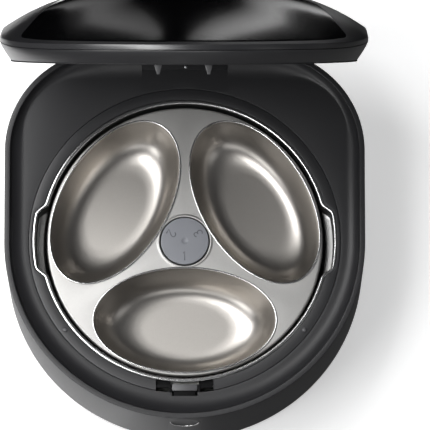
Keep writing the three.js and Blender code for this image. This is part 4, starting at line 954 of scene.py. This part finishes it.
def makeButton():
    b = button
    rings = [
        buttonRing(axisRadius, 0, b["back"]), buttonRing(b["flange"], 0, b["back"]),
        buttonRing(b["flange"], 0, b["flangeFront"]), buttonRing(b["radius"], 0, b["neck"]),
        *[buttonRing(radius, push) for radius, push in b["dish"]],
    ]
    made = shell("buttonFace", soften(rings, [0, 0.4, 0.4, 0.1, 0.5, 1.0, 2.0, 2.0, 0], False), True)
    combine(made, [bar("cut", *b["cut"])], "DIFFERENCE")
    dress(made, "housing", "latch", "shell_plastic", "latch_button")


# a thin bright steel crescent along the button's lower edge, thinning out to its ends: a painted highlight of
# the edge
edgeGlint = {
    "start": 168, "end": 372, "radius": 12.0, "wire": 0.8, "endShare": 0.2, "heightShare": 0.8, "proud": 0.05,
    "steps": 56, "sides": 12,
}


def makeEdgeGlint():
    t = edgeGlint
    wire = []
    for i in range(t["steps"] + 1):
        along = i / t["steps"]
        turn = math.radians(t["start"] + (t["end"] - t["start"]) * along)
        thick = t["wire"] * (t["endShare"] + (1 - t["endShare"]) * math.sin(math.pi * along))
        row = []
        for around in turns(t["sides"]):
            radius = t["radius"] + thick * math.cos(around)
            x, z = radius * math.cos(turn), button["z"] + radius * math.sin(turn)
            row.append((x, frontSurface(x) - t["proud"] - thick * t["heightShare"] * math.sin(around), z))
        wire.append(np.array(row))
    dress(shell("buttonEdgeGlint", wire, True, 80), "polishedHighlightEdge", "latch", "bright_steel")


slider = {
    "plate": (-10, 10, -148.7, -124.4, 79.7, 83.3, 0.3),
    "tab": (-10.6, 10.6, -130.0, -124.4, 79.7, 89.7, 0.25),
    "step": (-9.2, 9.2, -134.3, -129.5, 83.0, 87.9, 0.3),
    "arms": (-23.7, 23.7, -127.4, -124.4, 87.8, 89.3, 0.25),
    "shadeHalf": 10.7, "shadeFront": -130.1,
}


def makeSlider():
    s = slider
    made = bar("sliderTab", *s["plate"])
    combine(made, [bar(part, *s[part]) for part in ("tab", "step", "arms")], "UNION")
    dress(made, "hookAbs", "latch", "cover_plastic", "latch_slider")
    # the arms and the lower step get painted shade, the near-black ABS, where the slots shade them
    paint(made, "paintedShadeAbs", lambda x, y, z: abs(x) > s["shadeHalf"] or y < s["shadeFront"])


# the lid is drawn closed, then swung open about the hinge
hinge = {
    "y": 161.0, "z": 97.0, "open": 74.0, "knuckle": 3.8, "pin": 1.7, "pinHalf": 35.7,
    "armInner": 12, "armOuter": 24, "armInset": 0.15, "armFront": 7.6, "armBottom": 96.7, "armDrop": 0.1,
    "sleeve": 3.2, "sleeveHalf": 13, "bore": 2.0, "boreHalf": 40, "lidBoreHalf": 26,
    "plate": (-36, 36, 148.7, 164.75, 90.3, 92.3, 0.3), "earInner": 24.6, "earOuter": 36, "earInset": 0.1,
    "earBottom": 91.3, "earStep": 0.15,
    # low enough for the closed lid's lip, which comes down to 94.5 mm above it
    "dome": [(0, 92.35), (2.0, 92.35), (1.9, 92.8), (1.3, 93.5), (0, 93.8)], "domePlace": (0.7, 151.4),
}


def swing(points):
    turn = math.radians(-hinge["open"])
    c, s = math.cos(turn), math.sin(turn)
    shifted = points - np.array([0, hinge["y"], hinge["z"]])
    return shifted @ np.array([[1, 0, 0], [0, c, s], [0, -s, c]]) + np.array([0, hinge["y"], hinge["z"]])


def swingObject(obj):
    flat = np.empty(len(obj.data.vertices) * 3)
    obj.data.vertices.foreach_get("co", flat)
    moved = swing(flat.reshape(-1, 3) / milli) * milli
    obj.data.vertices.foreach_set("co", moved.ravel())
    obj.data.update()


def hingeRod(name, radius, x0, x1):
    return rodAlong(name, radius, (x0, hinge["y"], hinge["z"]), (x1, hinge["y"], hinge["z"]))


hook = {
    "x": 20.5, "front": -130.3, "back": -127.8, "top": 94.2, "bottom": 86.5, "topHalf": 3.2,
    "bottomHalf": 1.0, "inner": (-128.8, -126.3), "noseHalf": 1.25, "noseHeight": 1.2, "rootHalf": 2.9,
    "rootBottom": 92.9, "round": 0.2, "edge": 0.15,
}


def makeHook(side, name):
    h = hook
    x, top, bottom, topHalf, bottomHalf = side * h["x"], h["top"], h["bottom"], h["topHalf"], h["bottomHalf"]
    section = [(-topHalf, top), (-bottomHalf, bottom), (bottomHalf, bottom), (topHalf, top)]
    points = [(x + u, y, z) for y in (h["front"], h["back"]) for u, z in section]
    faces = [(0, 1, 2, 3), (7, 6, 5, 4), (0, 4, 5, 1), (1, 5, 6, 2), (2, 6, 7, 3), (3, 7, 4, 0)]
    made = meshFrom(name + "Wedge", np.array(points), faces)
    nose = bar("nose", x - h["noseHalf"], x + h["noseHalf"], *h["inner"],
               bottom, bottom + h["noseHeight"], h["round"])
    root = bar("root", x - h["rootHalf"], x + h["rootHalf"], *h["inner"], h["rootBottom"], top, h["round"])
    combine(made, [nose, root], "UNION")
    breakEdges(made.data, h["edge"], 2)
    swingObject(made)
    dress(made, "hookAbs", "lid", "dark_plastic", name)


makeButton()
makeEdgeGlint()
makeSlider()
makeHook(-1, "lid_hook_left")
makeHook(1, "lid_hook_right")
print("stage: latch")


# lid
lid = {
    "bottom": 94.5, "insetFront": 10.5, "insetRear": 9.5, "roundPower": 1.25, "wall": 2.4, "sideSteps": 12,
    "seamFront": 12.0, "seamRear": 24.0, "seamGap": 0.2, "shoulderFront": 16.5, "shoulderRear": 26.6,
    "sweepStart": -110.0, "sweepEnd": 110.0, "rise": 61.0, "peakY": 45.0, "crownDepth": 4.8,
    "powerFront": 1.35, "powerSide": 2.95, "powerRear": 4.0,
    "panelInset": 7.0, "panelHalf": 135.0, "panelRearHalf": 98.0, "panelRearY": 88.0, "panelGap": 0.3,
    "panelTipRound": 9.0, "panelRearRound": 20.0, "panelThickness": 1.4, "groove": 0.45, "edgeSteps": 2880,
    # each pair is a distance inward from the lid's lower edge and a height over its bottom
    "lip": [(14, 0), (1.8, 0), (1.8, 1.9), (0, 1.9)], "innerWall": [(4.2, 4.5), (14, 2.6)],
    "gasket": [(1.5, 0), (-1.0, 0), (-1.2, 1.6), (1.5, 1.6)],
    "liner": [(30, 1.2), (28.8, 0), (14.3, 0), (14.3, 2.6)],
}


def sweep(y):
    return smooth((y - lid["sweepStart"]) / (lid["sweepEnd"] - lid["sweepStart"]))


def along(y, size):
    # a size that goes from its front to its rear value
    return mix(lid[size + "Front"], lid[size + "Rear"], sweep(y))


def seamAt(y):
    return lid["bottom"] + along(y, "seam")


def bend(p0, p1, p2, steps):
    return [tuple((1 - t) ** 2 * np.array(p0) + 2 * t * (1 - t) * np.array(p1) + t * t * np.array(p2))
            for t in (k / steps for k in range(steps))]


def run(p0, p1, steps):
    return [tuple(mix(np.array(p0), np.array(p1), k / steps)) for k in range(steps)]


def panelOutline(shrink):
    p = lid
    front, tipRound, rearRound = body["front"], p["panelTipRound"], p["panelRearRound"]
    radius = body["half"] - p["panelInset"] - shrink
    tipX = p["panelHalf"] - shrink
    tipAngle = math.acos(tipX / radius)
    tipY = front - radius * math.sin(tipAngle)
    rearX, rearY = p["panelRearHalf"] - shrink, p["panelRearY"] - shrink
    slant = np.array([rearX - tipX, rearY - tipY])
    slant = slant / np.linalg.norm(slant)
    start = np.array([tipX, tipY]) + slant * tipRound
    end = np.array([rearX, rearY]) - slant * rearRound
    early = tipAngle + tipRound / radius
    arcSteps, slantSteps, rearSteps, bendSteps = 120, 26, 36, 14
    points = []
    for k in range(arcSteps):
        a = mix(math.pi + early, 2 * math.pi - early, k / arcSteps)
        points.append((radius * math.cos(a), front + radius * math.sin(a)))
    arcStart = (radius * math.cos(math.pi + early), front + radius * math.sin(math.pi + early))
    points += bend((-arcStart[0], arcStart[1]), (tipX, tipY), start, bendSteps)
    points += run(start, end, slantSteps)
    points += bend(end, (rearX, rearY), (rearX - rearRound, rearY), bendSteps)
    points += run((rearX - rearRound, rearY), (rearRound - rearX, rearY), rearSteps)
    points += bend((rearRound - rearX, rearY), (-rearX, rearY), (-end[0], end[1]), bendSteps)
    points += run((-end[0], end[1]), (-start[0], start[1]), slantSteps)
    points += bend((-start[0], start[1]), (-tipX, tipY), arcStart, bendSteps)
    return np.array(points)


def polarTable(points):
    # direction and distance about the lid's peak, for looking up any direction
    offset = points - np.array([0, lid["peakY"]])
    turn = np.arctan2(offset[:, 1], offset[:, 0])
    order = np.argsort(turn)
    return turn[order], np.hypot(offset[:, 0], offset[:, 1])[order]


def lookUp(table, directions):
    return np.interp(directions, table[0], table[1], period=2 * math.pi)


fineEdge = ring(onBody(0), 0, np.linspace(0, 2 * math.pi, lid["edgeSteps"], endpoint=False))[:, :2]
edgeTable = polarTable(fineEdge)
outline = panelOutline(0)
lidTurns = np.arctan2(outline[:, 1] - lid["peakY"], outline[:, 0])
edgeDistance = lookUp(edgeTable, lidTurns)
lidEdge = np.array([0, lid["peakY"]]) + (edgeDistance * np.stack([np.cos(lidTurns), np.sin(lidTurns)])).T
lidAngles = np.arctan2(lidEdge[:, 1], lidEdge[:, 0])
grooveShare = lookUp(polarTable(outline), lidTurns) / edgeDistance
panelShare = lookUp(polarTable(panelOutline(lid["groove"])), lidTurns) / edgeDistance


def crownPower(rise):
    # how flat the crown is on top, from the side to the front or the rear
    return mix(lid["powerSide"], lid["powerFront"] if rise < 0 else lid["powerRear"], smooth(abs(rise)))


def crownRing(share, drop=0.0):
    # share of the way out from the peak to the edge: one number, or one for each direction
    power = np.array([crownPower(rise) for rise in np.sin(lidTurns)])
    share = np.broadcast_to(share, lidTurns.shape)
    shoulder = np.array([lid["bottom"] + along(y, "shoulder") for y in lidEdge[:, 1]])
    peak = lid["bottom"] + lid["rise"]
    z = shoulder + (peak - shoulder) * (1 - share ** power) - drop
    x = lidEdge[:, 0] * share
    y = lid["peakY"] + (lidEdge[:, 1] - lid["peakY"]) * share
    return np.stack([x, y, z], axis=1)


def edgeRing(amount, height):
    rows = []
    for angle, y in zip(lidAngles, lidEdge[:, 1]):
        r = reach(inset(body, amount(y)), angle)
        rows.append((r * math.cos(angle), r * math.sin(angle), height(y)))
    return np.array(rows)


def lipRings(name):
    rings = []
    for inward, up in lid[name]:
        rings.append(edgeRing(lambda y: along(y, "inset") + inward, lambda y: lid["bottom"] + up))
    return rings


crown = {
    "floorShares": [0.04, 0.1, 0.2, 0.32, 0.45, 0.58, 0.7, 0.8, 0.9, 0.97],
    "slopeShares": [0, 0.12, 0.26, 0.4, 0.54, 0.67, 0.78, 0.87, 0.94],
    "underShares": [0.86, 0.55, 0.25, 0.04],
    "panelShares": [0.03, 0.07, 0.12, 0.18, 0.25, 0.32, 0.4, 0.48, 0.56, 0.64, 0.72, 0.8, 0.87, 0.93, 0.975],
}


def makeUpperShell():
    p = lid
    drop = p["panelThickness"] + p["panelGap"]
    floor = [crownRing(grooveShare * share, drop) for share in crown["floorShares"]]
    slope = [crownRing(mix(grooveShare, 1.0, share)) for share in crown["slopeShares"]]
    under = [crownRing(share, p["crownDepth"]) for share in crown["underShares"]]
    seam = [edgeRing(lambda y: inward, lambda y: seamAt(y) + p["seamGap"]) for inward in (0, p["wall"])]
    rings = [*floor, crownRing(grooveShare, drop), *slope, crownRing(1.0), *seam, *under]
    widths = [0] * len(floor) + [0.1, 0.35] + [0] * (len(slope) - 1) + [5.5, 0.35, 0, 0, 0, 0, 0]
    made = shell("lidUpper", soften(rings, widths, False, 5), True, 45, swing)
    dress(made, "lidAbs", "lid", "shell_plastic", "lid_upper_shell")


def makePanel():
    thickness, shares = lid["panelThickness"], crown["panelShares"]
    under = [crownRing(panelShare * share, thickness) for share in shares]
    over = [crownRing(panelShare * share) for share in reversed(shares)]
    rings = [*under, crownRing(panelShare, thickness), crownRing(panelShare), *over]
    widths = [0] * len(under) + [0.1, 0.6] + [0] * len(over)
    made = shell("lidGlossPanel", soften(rings, widths, False, 5), True, 50, swing)
    dress(made, "panel", "lid", "gloss_panel", "lid_panel")


def sideRing(share, extra=0.0):
    # share of the way up the side, from the lower edge to the seam
    return edgeRing(
        lambda y: along(y, "inset") * (1 - share) ** lid["roundPower"] + extra,
        lambda y: mix(lid["bottom"], seamAt(y) - lid["seamGap"], share),
    )


def makeLowerShell():
    p, h = lid, hinge
    sides = [sideRing(s / p["sideSteps"]) for s in range(1, p["sideSteps"] + 1)]
    rings = [*lipRings("lip"), *sides, sideRing(1, p["wall"]), *lipRings("innerWall")]
    widths = [0.3, 0.3, 0, 0.4] + [0] * (len(sides) - 1) + [0.4, 0, 0.5, 0.3]
    made = shell("lidLower", soften(rings, widths))
    arms = []
    for side in (-1, 1):
        x0, x1 = sorted((side * h["armInner"], side * h["armOuter"]))
        arms.append(hingeRod("arm", h["knuckle"], x0, x1))
        arms.append(bar("arm", x0 + h["armInset"], x1 - h["armInset"], h["y"] - h["armFront"], h["y"],
                        h["armBottom"], h["z"] + h["knuckle"] - h["armDrop"]))
    # a slimmer sleeve over the pin joins the two knuckles
    arms.append(hingeRod("arm", h["sleeve"], -h["sleeveHalf"], h["sleeveHalf"]))
    combine(made, arms, "UNION")
    combine(made, [hingeRod("cut", h["bore"], -h["lidBoreHalf"], h["lidBoreHalf"])], "DIFFERENCE")
    swingObject(made)
    dress(made, "lidAbs", "lid", "shell_plastic", "lid_lower_shell")


def makeGasket():
    made = shell("lidSeal", soften(lipRings("gasket"), [0.3, 0.6, 0.4, 0.2], True, 3), False, 60, swing)
    dress(made, "rubber", "lid", "black_rubber", "lid_gasket")


def makeLiner():
    made = shell("lidInner", soften(lipRings("liner"), [2.0, 1.2, 0.5, 0], False), True, 40, swing)
    dress(made, "cover", "lid", "cover_plastic", "lid_liner")


makeUpperShell()
makePanel()
makeLowerShell()
makeGasket()
makeLiner()
print("stage: lid")


# hinge bracket, pin, feet
def makeBracket():
    h = hinge
    made = bar("hingeFitting", *h["plate"])
    half = h["knuckle"] - h["earStep"]
    ears = []
    for side in (-1, 1):
        x0, x1 = sorted((side * h["earInner"], side * h["earOuter"]))
        ears.append(hingeRod("ear", h["knuckle"], x0, x1))
        ears.append(bar("ear", x0 + h["earInset"], x1 - h["earInset"], h["y"] - half, h["y"] + half,
                        h["earBottom"], h["z"]))
    combine(made, ears, "UNION")
    combine(made, [hingeRod("cut", h["bore"], -h["boreHalf"], h["boreHalf"])], "DIFFERENCE")
    dress(made, "innerAbs", "base", "dark_plastic", "hinge_bracket")
    ball = spun("pocketBall", h["dome"], [0, 0.2, 0.5, 0.5, 0], h["domePlace"], 32)
    dress(ball, "pinSteel", "base", "dark_plastic")
    pin = hingeRod("hingeRod", h["pin"], -h["pinHalf"], h["pinHalf"])
    dress(pin, "pinSteel", "base", "bright_steel", "hinge_pin")


feet = {
    "places": [(-88, -72), (88, -72), (-88, 104), (88, 104)],
    "profile": [(0, 0), (8.1, 0), (9, 0.9), (9, 2.7), (0, 2.7)],
}


def makeFoot(place, name):
    made = spun(name + "Pad", feet["profile"], [0, 0.3, 0.5, 0.2, 0], place, 64)
    dress(made, "rubber", "base", "black_rubber", name)


makeBracket()
for index, place in enumerate(feet["places"]):
    makeFoot(place, "rubber_foot_%d" % (index + 1))
print("stage: hinge and feet")


# carried-over CAD nodes
carried = {
    "innerAbs": ["base_plate", "fan_frame", "fan_rotor", "turntable_hub", "power_inlet", "latch_guide"],
    "nylon": ["chassis", "drive_pinion", "hub_bush", "hub_gear"],
    "aluminium": ["cold_plate", "heat_sink", "gear_motor"],
    "foam": ["insulation_shell"],
    "ceramic": ["thermoelectric_module"],
    "board": ["control_board"],
    "zinc": ["latch_spring", *["base_screw_%d" % (i + 1) for i in range(4)]],
}
for finish, nodes in carried.items():
    for node in nodes:
        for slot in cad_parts[node].material_slots:
            slot.material = finishes[finish]
print("stage: carried-over nodes", sum(len(nodes) for nodes in carried.values()))
